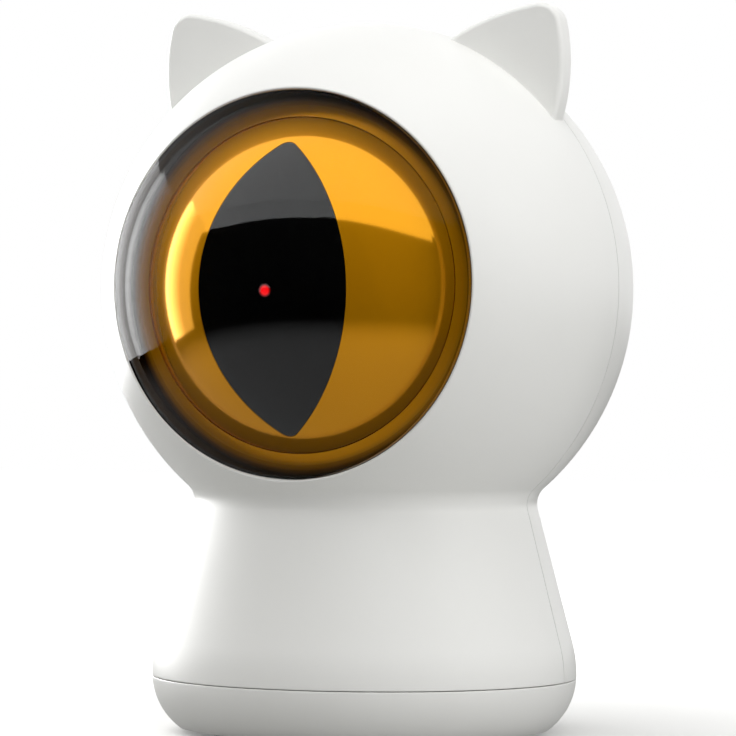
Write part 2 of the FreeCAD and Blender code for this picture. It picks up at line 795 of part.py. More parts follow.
def make_pupil_window():
    """Dark lens in the dome's opening, held from behind by its own flange."""
    plug = prism("pupil_plug", "XZ_Plane", pupil_outline("(-fit_gap / 2)"), reach, "seat_distance")
    plate = prism("pupil_plate", "XZ_Plane", pupil_outline("pupil_flange"), reach, "seat_distance")
    depth = "(dome_thickness + pupil_flange_depth)"
    front_layer = cut("pupil_shell", dome_sphere("pupil_outer", "0"), dome_sphere("pupil_middle", depth))
    back_layer = cut("pupil_back_shell", dome_sphere("pupil_back_outer", "dome_thickness"),
                     dome_sphere("pupil_back_inner", depth))
    front = common("pupil_front", plug, front_layer)
    back = common("pupil_back", plate, back_layer)
    part(fuse("pupil_window", front, back), "pupil_window")


def make_iris_retainer():
    y = "-(seat_distance - seat_thickness - retainer_thickness)"
    ring = cylinder("retainer_ring", "eye_radius - turn_gap", "retainer_thickness", "0", y,
                    "head_height", "forward")
    tools = [cylinder("retainer_bore", "seat_inner - turn_gap", reach, "0", "0", "head_height", "forward")]
    screws = []
    for angle in diagonals:
        x, z = eye_screw_place(angle)
        tools.append(cylinder(f"retainer_hole_{angle}", pass_hole, "retainer_thickness + 2 * cut_past", x,
                              f"{y} + cut_past", z, "forward"))
        screws.append(screw(f"eye_screw_{angle}",
                            "retainer_thickness + seat_thickness + flange_thickness + eye_screw_bite",
                            x, y, z, "forward"))
    part(cut("iris_retainer", ring, *tools), "iris_retainer")
    part(group("retainer_screws", screws), "retainer_screws")


# ---- ears

def ear_outline(side):
    """Ear seen from the front: a top arc, the tip and a side arc. The long arcs run on into the head."""
    def arc_point(arc, angle):
        """A point on the top or side arc, which meets the tip's arc where its own turn ends."""
        back = f"(ear_{arc}_radius - ear_tip_radius)"
        turn = f"ear_{arc}_turn * 1 deg"
        x = f"ear_tip_across - {back} * cos({turn}) + ear_{arc}_radius * cos(({angle}) * 1 deg)"
        z = f"ear_tip_up - {back} * sin({turn}) + ear_{arc}_radius * sin(({angle}) * 1 deg)"
        return f"{side} * ({x})", f"head_height + {z}"

    clockwise = -side
    return [
        (*arc_point("top", "ear_top_turn + ear_top_run"), f"{clockwise} * ear_top_radius"),
        (*arc_point("top", "ear_top_turn"), f"{clockwise} * ear_tip_radius"),
        (*arc_point("side", "ear_side_turn"), f"{clockwise} * ear_side_radius"),
        arc_point("side", "ear_side_turn - ear_side_run"),
        (f"{side} * ear_tip_across / 2", "head_height + head_radius / 2"),
    ]


def make_ear(side, name):
    blank = prism(f"{name}_ear_blank", "XZ_Plane", ear_outline(side), "ear_thickness", "ear_front", back=True)
    doc.recompute()
    pad = blank.Tip
    front_y, back_y = -value("ear_front"), value("ear_thickness - ear_front")
    rims = []
    for number, edge in enumerate(pad.Shape.Edges, start=1):
        flat = any(abs(edge.BoundBox.YMin - y) + abs(edge.BoundBox.YMax - y) < 0.01 for y in (front_y, back_y))
        if flat and edge.Curve.TypeId == "Part::GeomCircle":
            rims.append(f"Edge{number}")
    fillet = blank.newObject("PartDesign::Fillet", f"{name}_ear_fillet")
    fillet.Base = (pad, rims)
    bind(fillet, Radius="ear_edge")
    head = sphere(f"{name}_ear_seat", "head_radius", "0", "0", "head_height")
    tongue = leaned(f"{name}_ear_tongue", tenon(f"{name}_ear_tenon", "0", tongue_back), side)
    part(fuse(f"{name}_ear", cut(f"{name}_ear_seated", blank, head), tongue), f"{name}_ear")


# ---- bottom cover and feet

def make_bottom_cover():
    skirt = common("cover_skirt", skin_outer, slab("cover_slab", f"-{reach}", reach, "0", cover_top))
    spigot = cylinder("cover_spigot", spigot_radius, f"spigot_top - {floor_top}", "0", "0", floor_top)
    lugs = []
    for number in range(lug_count):
        lug = cylinder(f"cover_lug{number}", lug_radius, "lug_height", "0", "0", "lug_low")
        bind(lug, Angle="lug_angle")
        turn_to(lug, f"{lug_middle(number)} - lug_angle / 2")
        lugs.append(lug)
    void = cylinder("cover_void", void_radius, reach, "0", "0", floor_top)
    shell = cut("cover_shell", fuse("cover_blank", skirt, spigot, *lugs), void)
    ring_height = f"cell_height - cell_radius - turn_gap - {floor_top}"
    ring = cut("cell_ring", cylinder("cell_ring_outer", "cell_ring_radius", ring_height, "0", "0", floor_top),
               cylinder("cell_ring_inner", "cell_ring_radius - cell_ring_wall", ring_height,
                        "0", "0", floor_top))
    tools = [box("coin_slot", "-coin_slot_length / 2", "coin_slot_length / 2", "-coin_slot_width / 2",
                 "coin_slot_width / 2", "0", "base_height + coin_slot_depth")]
    pads = []
    for angle in diagonals:
        x = f"foot_pad_circle * cos({angle} * 1 deg)"
        y = f"foot_pad_circle * sin({angle} * 1 deg)"
        tools.append(cylinder(f"foot_pocket_{angle}", "foot_pad_radius + fit_gap",
                              "base_height + foot_pad_sunk", x, y, "0"))
        pads.append(cylinder(f"foot_pad_{angle}", "foot_pad_radius", "base_height + foot_pad_sunk", x, y, "0"))
    part(cut("bottom_cover", fuse("cover_body", shell, ring), *tools), "bottom_cover")
    part(group("rubber_feet", pads), "rubber_feet")


# ---- battery tray

rows = (-1, 0, 1)
end_face = "(cell_length / 2 + cell_nub_length / 2)"
plate_x = f"({end_face} + contact_gap)"
tray_end = f"({plate_x} + contact_thickness)"


def make_chassis():
    roof = common("roof", skin_clear, slab("roof_slab", f"-{reach}", reach, "roof_bottom", "roof_top"))
    tray = common("tray", skin_clear,
                  box("tray_block", f"-{tray_end} - tray_wall", f"{tray_end} + tray_wall",
                      "-cell_pitch - cell_radius - fit_gap - tray_wall / 2",
                      "cell_pitch + cell_radius + fit_gap + tray_wall / 2", "lip_start", "roof_top"))
    added = [roof, tray]
    tools = []
    for number, row in enumerate(rows, start=1):
        y = f"{row} * cell_pitch"
        tools.append(cylinder(f"cell_pocket{number}", "cell_radius + fit_gap", f"2 * {tray_end}",
                              f"-{tray_end}", y, "cell_height", "across"))
        tools.append(box(f"cell_way{number}", f"-{tray_end}", tray_end,
                         f"{y} - cell_radius - fit_gap", f"{y} + cell_radius + fit_gap", "0", "cell_height"))
    for side, name in sides:
        for side_y in (-1, 1):
            x, y = f"{side} * board_screw_across", f"{side_y} * board_screw_along"
            added.append(cylinder(f"standoff_{name}{side_y + 1}", "standoff_radius", "standoff_height",
                                  x, y, "roof_top"))
            tools.append(cylinder(f"standoff_pilot_{name}{side_y + 1}", pilot, "standoff_height",
                                  x, y, "roof_top"))
            tools.append(cylinder(f"chassis_hole_{name}{side_y + 1}", pass_hole,
                                  "roof_thickness + 2 * cut_past", f"{side} * chassis_screw_across",
                                  f"{side_y} * chassis_screw_along", "roof_bottom - cut_past"))
    part(cut("chassis", fuse("chassis_body", *added), *tools), "chassis")


def make_chassis_screws():
    screws = []
    for side, name in sides:
        for side_y in (-1, 1):
            screws.append(screw(f"chassis_screw_{name}{side_y + 1}", "roof_thickness + chassis_screw_bite",
                                f"{side} * chassis_screw_across", f"{side_y} * chassis_screw_along",
                                "roof_bottom", "up"))
    part(group("chassis_screws", screws), "chassis_screws")


def make_batteries():
    """Three cells side by side, the middle one turned round, and a contact at each end."""
    contacts = []
    for number, row in enumerate(rows, start=1):
        y = f"{row} * cell_pitch"
        way = -1 if row == 0 else 1
        can = cylinder(f"cell_can{number}", "cell_radius", "cell_length",
                       f"-cell_length / 2 - {way} * cell_nub_length / 2", y, "cell_height", "across")
        nub_x = f"cell_length / 2 - {way} * cell_nub_length / 2" if way == 1 else f"-{end_face}"
        nub = cylinder(f"cell_nub{number}", "cell_nub_radius", "cell_nub_length", nub_x, y,
                       "cell_height", "across")
        part(fuse(f"cell_{number}", can, nub), f"battery_cell_{number}")
        for side in (-1, 1):
            inner = f"{side} * {plate_x}"
            outer = f"{side} * {tray_end}"
            limits = (inner, outer) if side > 0 else (outer, inner)
            plate = box(f"contact_plate{number}{side + 1}", *limits, f"{y} - contact_width / 2",
                        f"{y} + contact_width / 2", "cell_height - contact_height / 2",
                        "cell_height + contact_height / 2")
            bump_x = inner if side < 0 else end_face
            radii = ["contact_width / 2 - contact_foot_inset", "cell_nub_radius - contact_tip_inset"]
            if side > 0:
                radii.reverse()
            bump = cone(f"contact_bump{number}{side + 1}", *radii, "contact_gap",
                        bump_x, y, "cell_height", "across")
            contacts.append(fuse(f"contact{number}{side + 1}", plate, bump))
    part(group("battery_contacts", contacts), "battery_contacts")


# ---- main board

# Low left corners of the connectors for the motors, the laser and the cells, seen from above.
lead_places = ((-16, -2), (-12, 8), (-8, -16), (8, 8))


def make_main_board():
    disc = cylinder("board_disc", "board_radius", "board_thickness", "0", "0", "board_bottom")
    edge_y = "(recess_bottom - recess_wall - turn_gap)"
    width = "(recess_width / 2 + recess_wall + turn_gap)"
    tools = [box("board_notch", f"-{width}", width, edge_y, reach, "0", reach)]
    screws = []
    for side, name in sides:
        for side_y in (-1, 1):
            x, y = f"{side} * board_screw_across", f"{side_y} * board_screw_along"
            tools.append(cylinder(f"board_gap_{name}{side_y + 1}", "boss_radius + turn_gap", reach,
                                  f"{side} * chassis_screw_across", f"{side_y} * chassis_screw_along", "0"))
            tools.append(cylinder(f"board_hole_{name}{side_y + 1}", pass_hole, reach, x, y, "0"))
            screws.append(screw(f"board_screw_{name}{side_y + 1}",
                                "board_thickness + standoff_height - board_screw_spare",
                                x, y, "board_top", "down"))
    part(cut("main_board", disc, *tools), "main_board")
    part(group("board_screws", screws), "board_screws")
    part(box("chip", "chip_across - chip_side / 2", "chip_across + chip_side / 2",
             "-chip_forward - chip_side / 2", "-chip_forward + chip_side / 2",
             "board_top", "board_top + chip_height"), "controller_chip")
    leads = []
    for number, (x, y) in enumerate(lead_places):
        shell = box(f"lead_shell{number}", f"{x}", f"{x} + lead_length", f"{y}", f"{y} + lead_width",
                    "board_top", "board_top + lead_height")
        mouth = box(f"lead_mouth{number}", f"{x} + lead_wall", f"{x} + lead_length - lead_wall",
                    f"{y} + lead_wall", f"{y} + lead_width - lead_wall",
                    "board_top + lead_floor", "board_top + lead_height + cut_past")
        leads.append(cut(f"lead{number}", shell, mouth))
    part(group("lead_connectors", leads), "lead_connectors")


def make_usb_socket():
    half = "(socket_width / 2)"
    can = box("socket_can", f"-{half}", half, "recess_bottom - socket_depth", "recess_bottom",
              "board_top", "board_top + socket_height")
    mouth = box("socket_mouth", f"-{half} + socket_wall", f"{half} - socket_wall",
                "recess_bottom - socket_depth + socket_back", "recess_bottom + cut_past",
                "board_top + socket_wall", "board_top + socket_height - socket_wall")
    tongue = box("socket_tongue", f"-{half} + socket_tongue_inset", f"{half} - socket_tongue_inset",
                 "recess_bottom - socket_depth + socket_back / 2", "recess_bottom - socket_tongue_recess",
                 f"{socket_middle} - socket_tongue_thickness / 2",
                 f"{socket_middle} + socket_tongue_thickness / 2")
    part(fuse("usb_socket", cut("socket_shell", can, mouth), tongue), "usb_socket")


# ---- mechanism frame

def make_mechanism_frame():
    arm = "(tab_screw_across + tab_half_width)"
    plate = cylinder("frame_plate", "plate_radius", "plate_thickness", "0", "plate_shift", "frame_height")
    added = [
        plate,
        box("frame_arms", f"-{arm}", arm, "-tab_distance - tab_arm_front", "-tab_distance + tab_arm_back",
            "frame_height", plate_top),
        box("frame_tail", "-tail_width / 2", "tail_width / 2", "0", "tail_reach", "frame_height", plate_top),
    ]
    tools = [
        cylinder("bush_hole", "journal_radius + bush_wall + press_gap", reach, "0", "-pivot_forward", "0"),
        cylinder("motor_nose_hole", "motor_nose_radius + fit_gap", reach, "0", pan_motor_y, "0"),
    ]
    screws = []
    for side, name in sides:
        x = f"{side} * tab_screw_across"
        added.append(box(f"frame_tab_{name}", f"{x} - tab_half_width", f"{x} + tab_half_width",
                         "-tab_distance", "-tab_distance + tab_thickness", f"{tab_z} - tab_foot", plate_top))
        tools.append(cylinder(f"tab_hole_{name}", pass_hole, "tab_thickness + 2 * cut_past", x,
                              "-tab_distance + tab_thickness + cut_past", tab_z, "forward"))
        tools.append(cylinder(f"motor_screw_hole_{name}", pass_hole, reach,
                              f"{side} * motor_screw_across", pan_motor_y, "0"))
        screws.append(screw(f"frame_screw_{name}", "frame_screw_length", x,
                            "-tab_distance + tab_thickness", tab_z, "forward"))
    part(cut("mechanism_frame", fuse("frame_body", *added), *tools), "mechanism_frame")
    part(group("frame_screws", screws), "frame_screws")


# ---- gears

def gear(label, teeth, first_angle, bore, face, x, y, z, axis):
    """Spur gear with involute flanks and stub teeth; its first tooth is at first_angle."""
    count = round(value(teeth))
    module_size = value("gear_module")
    pressure = math.radians(value("pressure_angle"))
    pitch = module_size * count / 2
    base = pitch * math.cos(pressure)
    root = pitch - value("tooth_root") * module_size
    tip = pitch + value("tooth_tip") * module_size
    half_pitch = math.pi / (2 * count) - value("gear_backlash") / (2 * pitch) / 2

    def half_angle(radius):
        local = math.acos(min(base / radius, 1))
        return half_pitch + (math.tan(pressure) - pressure) - (math.tan(local) - local)

    def at(radius, angle):
        return Vector(radius * math.cos(angle), radius * math.sin(angle), 0)

    start = max(base, root)
    middle = (start + tip) / 2
    edges = []
    for tooth in range(count):
        centre = math.radians(first_angle) + 2 * math.pi * tooth / count
        following = centre + 2 * math.pi / count
        low, mid, high = half_angle(start), half_angle(middle), half_angle(tip)
        points = [at(root, centre - low), at(start, centre - low), at(middle, centre - mid),
                  at(tip, centre - high), at(tip, centre + high), at(middle, centre + mid),
                  at(start, centre + low), at(root, centre + low), at(root, following - low)]
        if start > root + 0.001:
            edges.append(Part.LineSegment(points[0], points[1]).toShape())
        edges.append(Part.Arc(points[1], points[2], points[3]).toShape())
        edges.append(Part.LineSegment(points[3], points[4]).toShape())
        edges.append(Part.Arc(points[4], points[5], points[6]).toShape())
        if start > root + 0.001:
            edges.append(Part.LineSegment(points[6], points[7]).toShape())
        edges.append(Part.LineSegment(points[7], points[8]).toShape())
    width = value(face)
    blank = Part.Face(Part.Wire(edges)).extrude(Vector(0, 0, width))
    hole = Part.makeCylinder(value(bore), width * 3, Vector(0, 0, -width))
    item = doc.addObject("Part::Feature", label)
    item.Shape = blank.cut(hole)
    item.Placement.Rotation = turns[axis]
    move(item, x, y, z)
    return part(item, label)


# ---- pan drive

def make_pan_drive():
    y = "-pivot_forward"
    sleeve = cylinder("bush_sleeve", "journal_radius + bush_wall", f"{plate_top} - {bush_bottom}",
                      "0", y, bush_bottom)
    flange = cylinder("bush_rim", "journal_radius + bush_wall + bush_flange_reach", "bush_flange",
                      "0", y, plate_top)
    bore = cylinder("bush_bore", "journal_radius + shaft_gap", reach, "0", y, "0")
    part(cut("pan_bush", fuse("bush_body", sleeve, flange), bore), "pan_bush")
    gear("pan_gear", "pan_gear_teeth", 90, "journal_radius + press_gap", "gear_face", "0", y, gear_bottom, "up")
    ring = cylinder("clip_ring", "journal_radius + clip_reach", "clip_thickness", "0", y,
                    f"{clip_top} - clip_thickness")
    inner = cylinder("clip_inner", "journal_radius - clip_groove + press_gap", reach, "0", y, "0")
    mouth = box("clip_gap", "-clip_mouth / 2", "clip_mouth / 2",
                f"{y} - journal_radius - clip_reach - cut_past", y, "0", "frame_height")
    part(cut("spindle_clip", ring, inner, mouth), "spindle_clip")
    bottom = "frame_height - pan_motor_length"
    can = cylinder("pan_motor_can", "pan_motor_radius", "pan_motor_length", "0", pan_motor_y, bottom)
    nose = cylinder("pan_motor_nose", "motor_nose_radius", "motor_nose_length", "0", pan_motor_y,
                    "frame_height")
    cap = cylinder("pan_motor_cover", "motor_nose_radius", "pan_motor_cap", "0", pan_motor_y,
                   f"{bottom} - pan_motor_cap")
    tools = [cylinder("pan_motor_bore", "motor_shaft_radius + shaft_gap",
                      "motor_bore_depth + motor_nose_length", "0", pan_motor_y,
                      "frame_height - motor_bore_depth")]
    screws = []
    for side, name in sides:
        x = f"{side} * motor_screw_across"
        tools.append(cylinder(f"motor_pilot_{name}", pilot, "motor_bore_depth", x, pan_motor_y,
                              "frame_height - motor_bore_depth"))
        screws.append(screw(f"motor_screw_{name}", "plate_thickness + motor_screw_bite", x, pan_motor_y,
                            plate_top, "down"))
    part(cut("pan_motor", fuse("pan_motor_body", can, nose, cap), *tools), "pan_motor")
    part(group("motor_screws", screws), "motor_screws")
    part(cylinder("pan_shaft", "motor_shaft_radius",
                  f"{gear_top} - pinion_short - frame_height + motor_shaft_bite", "0", pan_motor_y,
                  "frame_height - motor_shaft_bite"), "pan_motor_shaft")
    gear("pan_pinion", "pinion_teeth", 270 + value("180 / pinion_teeth"), "motor_shaft_radius + press_gap",
         "gear_face - pinion_short", "0", pan_motor_y, gear_bottom, "up")


# ---- yoke and tilt drive

def make_pan_yoke():
    y = "-pivot_forward"
    saddle_half = "(tilt_motor_radius + shaft_gap + saddle_wall)"
    saddle_low = f"({tilt_motor_y} - {saddle_half})"
    saddle_high = f"({tilt_motor_y} + {saddle_half})"
    saddle_left = f"-({arm_outer} - saddle_left_inset)"
    saddle_right = "(gear_seat - saddle_right_inset)"
    saddle_top = "(head_height + tilt_motor_radius / 2)"
    journal_foot = f"({clip_top} - clip_thickness - journal_end)"
    added = [
        cylinder("yoke_disc", "yoke_radius", "yoke_base", "0", y, gear_top),
        cylinder("yoke_journal", "journal_radius", f"{gear_top} - {journal_foot}", "0", y, journal_foot),
        box("yoke_saddle", saddle_left, saddle_right, saddle_low, saddle_high, gear_top, saddle_top),
    ]
    tools = [
        cylinder("motor_rest", "tilt_motor_radius + shaft_gap", reach, f"-{reach} / 2", tilt_motor_y,
                 "head_height", "across"),
        box("saddle_mouth", f"-{reach}", reach, f"{tilt_motor_y} - tilt_motor_radius + saddle_lip",
            f"{tilt_motor_y} + tilt_motor_radius - saddle_lip", "head_height", reach),
        box("saddle_window", f"{saddle_left} + saddle_window_wall", f"{saddle_right} - saddle_window_wall",
            "0", reach, f"{base_top} + saddle_window_floor",
            "head_height - tilt_motor_radius - saddle_window_roof"),
        cylinder("journal_hole", "journal_bore", reach, "0", y, "0"),
        cut("groove_wall",
            cylinder("groove_outer", "journal_radius + cut_past", "clip_thickness", "0", y,
                     f"{clip_top} - clip_thickness"),
            cylinder("groove_core", "journal_radius - clip_groove", "clip_thickness", "0", y,
                     f"{clip_top} - clip_thickness")),
    ]
    for side, name in sides:
        low, high = sorted((f"{side} * arm_inner", f"{side} * {arm_outer}"), key=value)
        added.append(box(f"yoke_arm_{name}", low, high, f"{y} - arm_width / 2", f"{y} + arm_width / 2",
                         gear_top, "head_height"))
        added.append(cylinder(f"yoke_eye_{name}", "arm_width / 2", "arm_thickness",
                              low, y, "head_height", "across"))
    tools.append(cylinder("shaft_bore", "tilt_shaft_radius + shaft_gap", reach, f"-{reach} / 2", y,
                          "head_height", "across"))
    part(cut("pan_yoke", fuse("yoke_body", *added), *tools), "pan_yoke")


def make_tilt_drive():
    y = "-pivot_forward"
    part(cylinder("tilt_shaft", "tilt_shaft_radius", f"2 * ({arm_outer} + tilt_shaft_end)",
                  f"-{arm_outer} - tilt_shaft_end", y, "head_height", "across"), "tilt_shaft")
    gear("tilt_gear", "tilt_gear_teeth", 90, "tilt_shaft_radius + press_gap", "gear_face",
         "gear_seat", y, "head_height", "across")
    left = f"{motor_face} - tilt_motor_length"
    can = cylinder("tilt_motor_can", "tilt_motor_radius", "tilt_motor_length", left, tilt_motor_y,
                   "head_height", "across")
    cap = cylinder("tilt_motor_cover", "motor_nose_radius / 2", "tilt_motor_cap", f"{left} - tilt_motor_cap",
                   tilt_motor_y, "head_height", "across")
    bore = cylinder("tilt_motor_bore", "motor_shaft_radius + shaft_gap", "motor_bore_depth + cut_past",
                    f"{motor_face} - motor_bore_depth", tilt_motor_y, "head_height", "across")
    part(cut("tilt_motor", fuse("tilt_motor_body", can, cap), bore), "tilt_motor")
    part(cylinder("tilt_motor_rod", "motor_shaft_radius",
                  f"gear_seat + gear_face - {motor_face} + motor_shaft_bite",
                  f"{motor_face} - motor_shaft_bite", tilt_motor_y, "head_height", "across"),
         "tilt_motor_shaft")
    gear("tilt_pinion", "pinion_teeth", 270 + value("180 / pinion_teeth"),
         "motor_shaft_radius + press_gap", "gear_face", "gear_seat", tilt_motor_y, "head_height", "across")


# ---- laser

def make_laser():
    y = "-pivot_forward"
    tube = cylinder("holder_tube", "holder_radius", "holder_reach", "0", y, "head_height", "forward")
    hub = cylinder("holder_hub", "hub_radius", "arm_inner - turn_gap + gear_seat",
                   "-(arm_inner - turn_gap)", y, "head_height", "across")
    bore = cylinder("barrel_bore", "barrel_radius + press_gap", reach, "0",
                    "-(pivot_forward + barrel_reach - barrel_length - laser_board_thickness)",
                    "head_height", "forward")
    shaft_way = cylinder("hub_bore", "tilt_shaft_radius + press_gap", reach, f"-{reach} / 2", y,
                         "head_height", "across")
    lead_way = box("lead_way", "-lead_way_width / 2", "lead_way_width / 2",
                   "-(pivot_forward + barrel_reach - barrel_length + cut_past)",
                   "-(pivot_forward + hub_radius + cut_past)",
                   "head_height", "head_height + holder_radius + cut_past")
    part(cut("tilt_cradle", fuse("holder_body", tube, hub), bore, shaft_way, lead_way), "tilt_cradle")
    lens_back = "-(pivot_forward + barrel_reach - laser_lens_inset - laser_lens_thickness)"
    rear_y = "-(pivot_forward + barrel_reach - barrel_length)"
    barrel = cylinder("barrel_body", "barrel_radius", "barrel_length", "0", rear_y, "head_height", "forward")
    seat = cylinder("lens_seat", "laser_lens_radius", reach, "0", lens_back, "head_height", "forward")
    way = cylinder("beam_way", "beam_radius", reach, "0", f"{rear_y} - barrel_radius", "head_height", "forward")
    part(cut("laser_barrel", barrel, seat, way), "laser_barrel")
    part(cylinder("laser_lens", "laser_lens_radius - press_gap", "laser_lens_thickness", "0",
                  lens_back, "head_height", "forward"), "laser_lens")
    part(cylinder("laser_board", "barrel_radius - fit_gap", "laser_board_thickness", "0",
                  f"{rear_y} + laser_board_thickness", "head_height", "forward"), "laser_board")


# ---- button, switch and status light

def make_button():
    flange_back = "(sleeve_end - turn_gap)"
    flange_front = f"({flange_back} - flange_depth)"
    cap = common("button_cap",
                 cylinder("button_rod", "button_radius", reach, "0", flange_front, "head_height", "back"),
                 sphere("button_face", "head_radius", "0", "0", "head_height"))
    flange = cylinder("button_rim", "button_flange", "flange_depth", "0", flange_front, "head_height", "back")
    switch_top = "(button_board_face + switch_height)"
    stem = cylinder("button_stem", "stem_radius", f"{flange_front} - {switch_top} - plunger_rise", "0",
                    f"{switch_top} + plunger_rise", "head_height", "back")
    part(fuse("mode_button", cap, flange, stem), "mode_button")
    part(cylinder("plunger", "plunger_radius", "plunger_length", "0",
                  f"{switch_top} + plunger_rise - plunger_length", "head_height", "back"), "switch_plunger")
    half = "switch_side / 2"
    body = box("switch_block", f"-{half}", half, "button_board_face", switch_top,
               f"head_height - {half}", f"head_height + {half}")
    well = cylinder("switch_well", "plunger_radius + fit_gap", "switch_well_depth + cut_past", "0",
                    f"{switch_top} - switch_well_depth", "head_height", "back")
    part(cut("mode_switch", body, well), "mode_switch")


def make_button_board():
    low = "head_height - light_drop - button_board_tail"
    board = box("button_board_blank", "-button_board_width / 2", "button_board_width / 2",
                "button_board_face - board_thickness", "button_board_face", low, f"{low} + button_board_height")
    # The board's lower edge steps back where the tail's rib stands.
    rib_half = "(tail_width / 2 + rib_wall + fit_gap)"
    tools = [box("board_rib_notch", f"-{rib_half}", rib_half, "0", reach, "0", "rib_top + fit_gap")]
    screws = []
    for number, (x, z) in enumerate(button_posts):
        tools.append(cylinder(f"button_board_hole{number}", pass_hole, reach, x, "0", z, "back"))
        screws.append(screw(f"button_board_screw{number}", "board_thickness + post_screw_bite", x,
                            "button_board_face - board_thickness", z, "back"))
    part(cut("button_board", board, *tools), "button_board")
    part(group("button_board_screws", screws), "button_board_screws")
    light_z = "head_height - light_drop"
    part(box("led_block", "-led_width / 2", "led_width / 2", "button_board_face",
             "button_board_face + led_height", f"{light_z} - led_length / 2", f"{light_z} + led_length / 2"),
         "status_led")
    pipe = common("light_pipe_body",
                  cylinder("light_pipe_rod", "light_radius", reach, "0", "button_board_face + light_pipe_lift",
                           light_z, "back"),
                  sphere("light_pipe_face", "head_radius", "0", "0", "head_height"))
    part(pipe, "light_pipe")


make_front_shell()
make_rear_shell()
make_shell_screws()
make_lens_cover()
make_eye_bezel()
make_iris_dome()
make_pupil_window()
make_iris_retainer()
for ear_side, ear_name in sides:
    make_ear(ear_side, ear_name)
make_bottom_cover()
make_chassis()
make_chassis_screws()
make_batteries()
make_main_board()
make_usb_socket()
make_mechanism_frame()
make_pan_drive()
make_pan_yoke()
make_tilt_drive()
make_laser()
make_button()
make_button_board()
doc.recompute()

for item in doc.Objects:
    if {"Invalid", "Error"} & set(item.State):
        raise RuntimeError(f"{item.Name} failed: {item.State}")
for item in parts:
    if item.Shape.isNull() or not item.Shape.isValid():
        raise RuntimeError(f"{item.Label} has no valid shape")
    if not item.Shape.Solids:
        raise RuntimeError(f"{item.Label} has no solid")

os.makedirs("parts", exist_ok=True)
for item in parts:
    item.Shape.exportStep(f"parts/{item.Label}.step")
    solids = len(item.Shape.Solids)
    print(f"{item.Label}: {solids} solid(s), {item.Shape.Volume:.1f} mm3")
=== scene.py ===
import json
import math

import bmesh
import bpy
from mathutils import Matrix, Quaternion, Vector


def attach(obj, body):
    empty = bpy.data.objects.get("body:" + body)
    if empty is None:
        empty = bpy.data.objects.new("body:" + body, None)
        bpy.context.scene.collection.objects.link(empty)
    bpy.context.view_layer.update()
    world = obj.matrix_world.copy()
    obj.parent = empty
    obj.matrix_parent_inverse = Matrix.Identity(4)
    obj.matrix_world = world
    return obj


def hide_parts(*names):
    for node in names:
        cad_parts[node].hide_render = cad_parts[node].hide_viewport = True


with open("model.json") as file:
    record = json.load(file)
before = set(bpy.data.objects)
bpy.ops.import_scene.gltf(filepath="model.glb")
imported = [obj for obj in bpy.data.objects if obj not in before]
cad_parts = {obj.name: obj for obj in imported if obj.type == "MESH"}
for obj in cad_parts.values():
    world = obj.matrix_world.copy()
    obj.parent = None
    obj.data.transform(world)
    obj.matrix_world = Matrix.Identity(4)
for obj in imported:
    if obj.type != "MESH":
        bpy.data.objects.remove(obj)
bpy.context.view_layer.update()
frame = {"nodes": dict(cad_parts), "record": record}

# Automatic laser toy: round head, two ears, a domed eye and a flared foot.
# Shapes are drawn in millimetres and turned to metres when a piece is finished.

mm = 0.001
print("frame loaded,", len(frame["nodes"]), "CAD nodes")

head = dict(centre=(0, 0, 65), radius=39, wall=2, seamFront=0.52, seamRear=0.68)
foot = dict(radius=31.15, widest=8.7, flare=19, taper=15, neckFillet=3, bottom=8.31, edge=0.1)
toFront = Matrix.Translation(head["centre"]) @ Matrix.Rotation(math.radians(90), 4, "X")
toBack = Matrix.Translation(head["centre"]) @ Matrix.Rotation(math.radians(-90), 4, "X")


def colour(code):
    channels = [int(code[i:i + 2], 16) / 255 for i in (0, 2, 4)]
    return tuple(c / 12.92 if c <= 0.04045 else ((c + 0.055) / 1.055) ** 2.4 for c in channels) + (1,)


def addNode(tree, kind, settings=None, links=None):
    # capital letters and numbers name sockets, the rest are the node's own settings
    node = tree.nodes.new(kind)
    for key, setting in (settings or {}).items():
        if isinstance(key, int) or key in node.inputs:
            node.inputs[key].default_value = setting
        else:
            setattr(node, key, setting)
    for key, source in (links or {}).items():
        tree.links.new(source, node.inputs[key])
    return node


def ramp(tree, source, stops):
    node = addNode(tree, "ShaderNodeValToRGB", links={0: source})
    band = node.color_ramp
    for position, shade in stops[1:-1]:
        band.elements.new(position).color = shade
    for element, (position, shade) in zip(sorted(band.elements, key=lambda e: e.position), stops):
        element.position = position
        element.color = shade
    return node.outputs[0]


def grey(level):
    return (level, level, level, 1)


def finish(name, light, dark, patch, grain, depth, rough, stretch=(1, 1, 1), **sockets):
    # light and dark: colour range in patches of that size; grain and depth: surface texture, in mm
    material = bpy.data.materials.new(name)
    material.use_nodes = True
    tree = material.node_tree
    tree.nodes.clear()
    place = addNode(tree, "ShaderNodeTexCoord").outputs["Object"]
    drawn = addNode(tree, "ShaderNodeMapping", {"Scale": stretch}, {"Vector": place}).outputs[0]
    broad = addNode(tree, "ShaderNodeTexNoise", {"Scale": 1 / (patch * mm), "Detail": 3}, {"Vector": drawn})
    fine = addNode(tree, "ShaderNodeTexNoise", {"Scale": 1 / (grain * mm), "Detail": 2}, {"Vector": drawn})
    tone = ramp(tree, broad.outputs[0], ((0.3, colour(dark)), (0.7, colour(light))))
    gloss = ramp(tree, broad.outputs[0], ((0.3, grey(rough[0])), (0.7, grey(rough[1]))))
    bump = addNode(tree, "ShaderNodeBump", {"Strength": 0.6, "Distance": depth * mm},
                   {"Height": fine.outputs[0]})
    shader = addNode(tree, "ShaderNodeBsdfPrincipled", sockets,
                     {"Base Color": tone, "Roughness": gloss, "Normal": bump.outputs[0]})
    output = addNode(tree, "ShaderNodeOutputMaterial", links={"Surface": shader.outputs[0]})
    output.name = "out"
    shader.name = "shader"
    return material


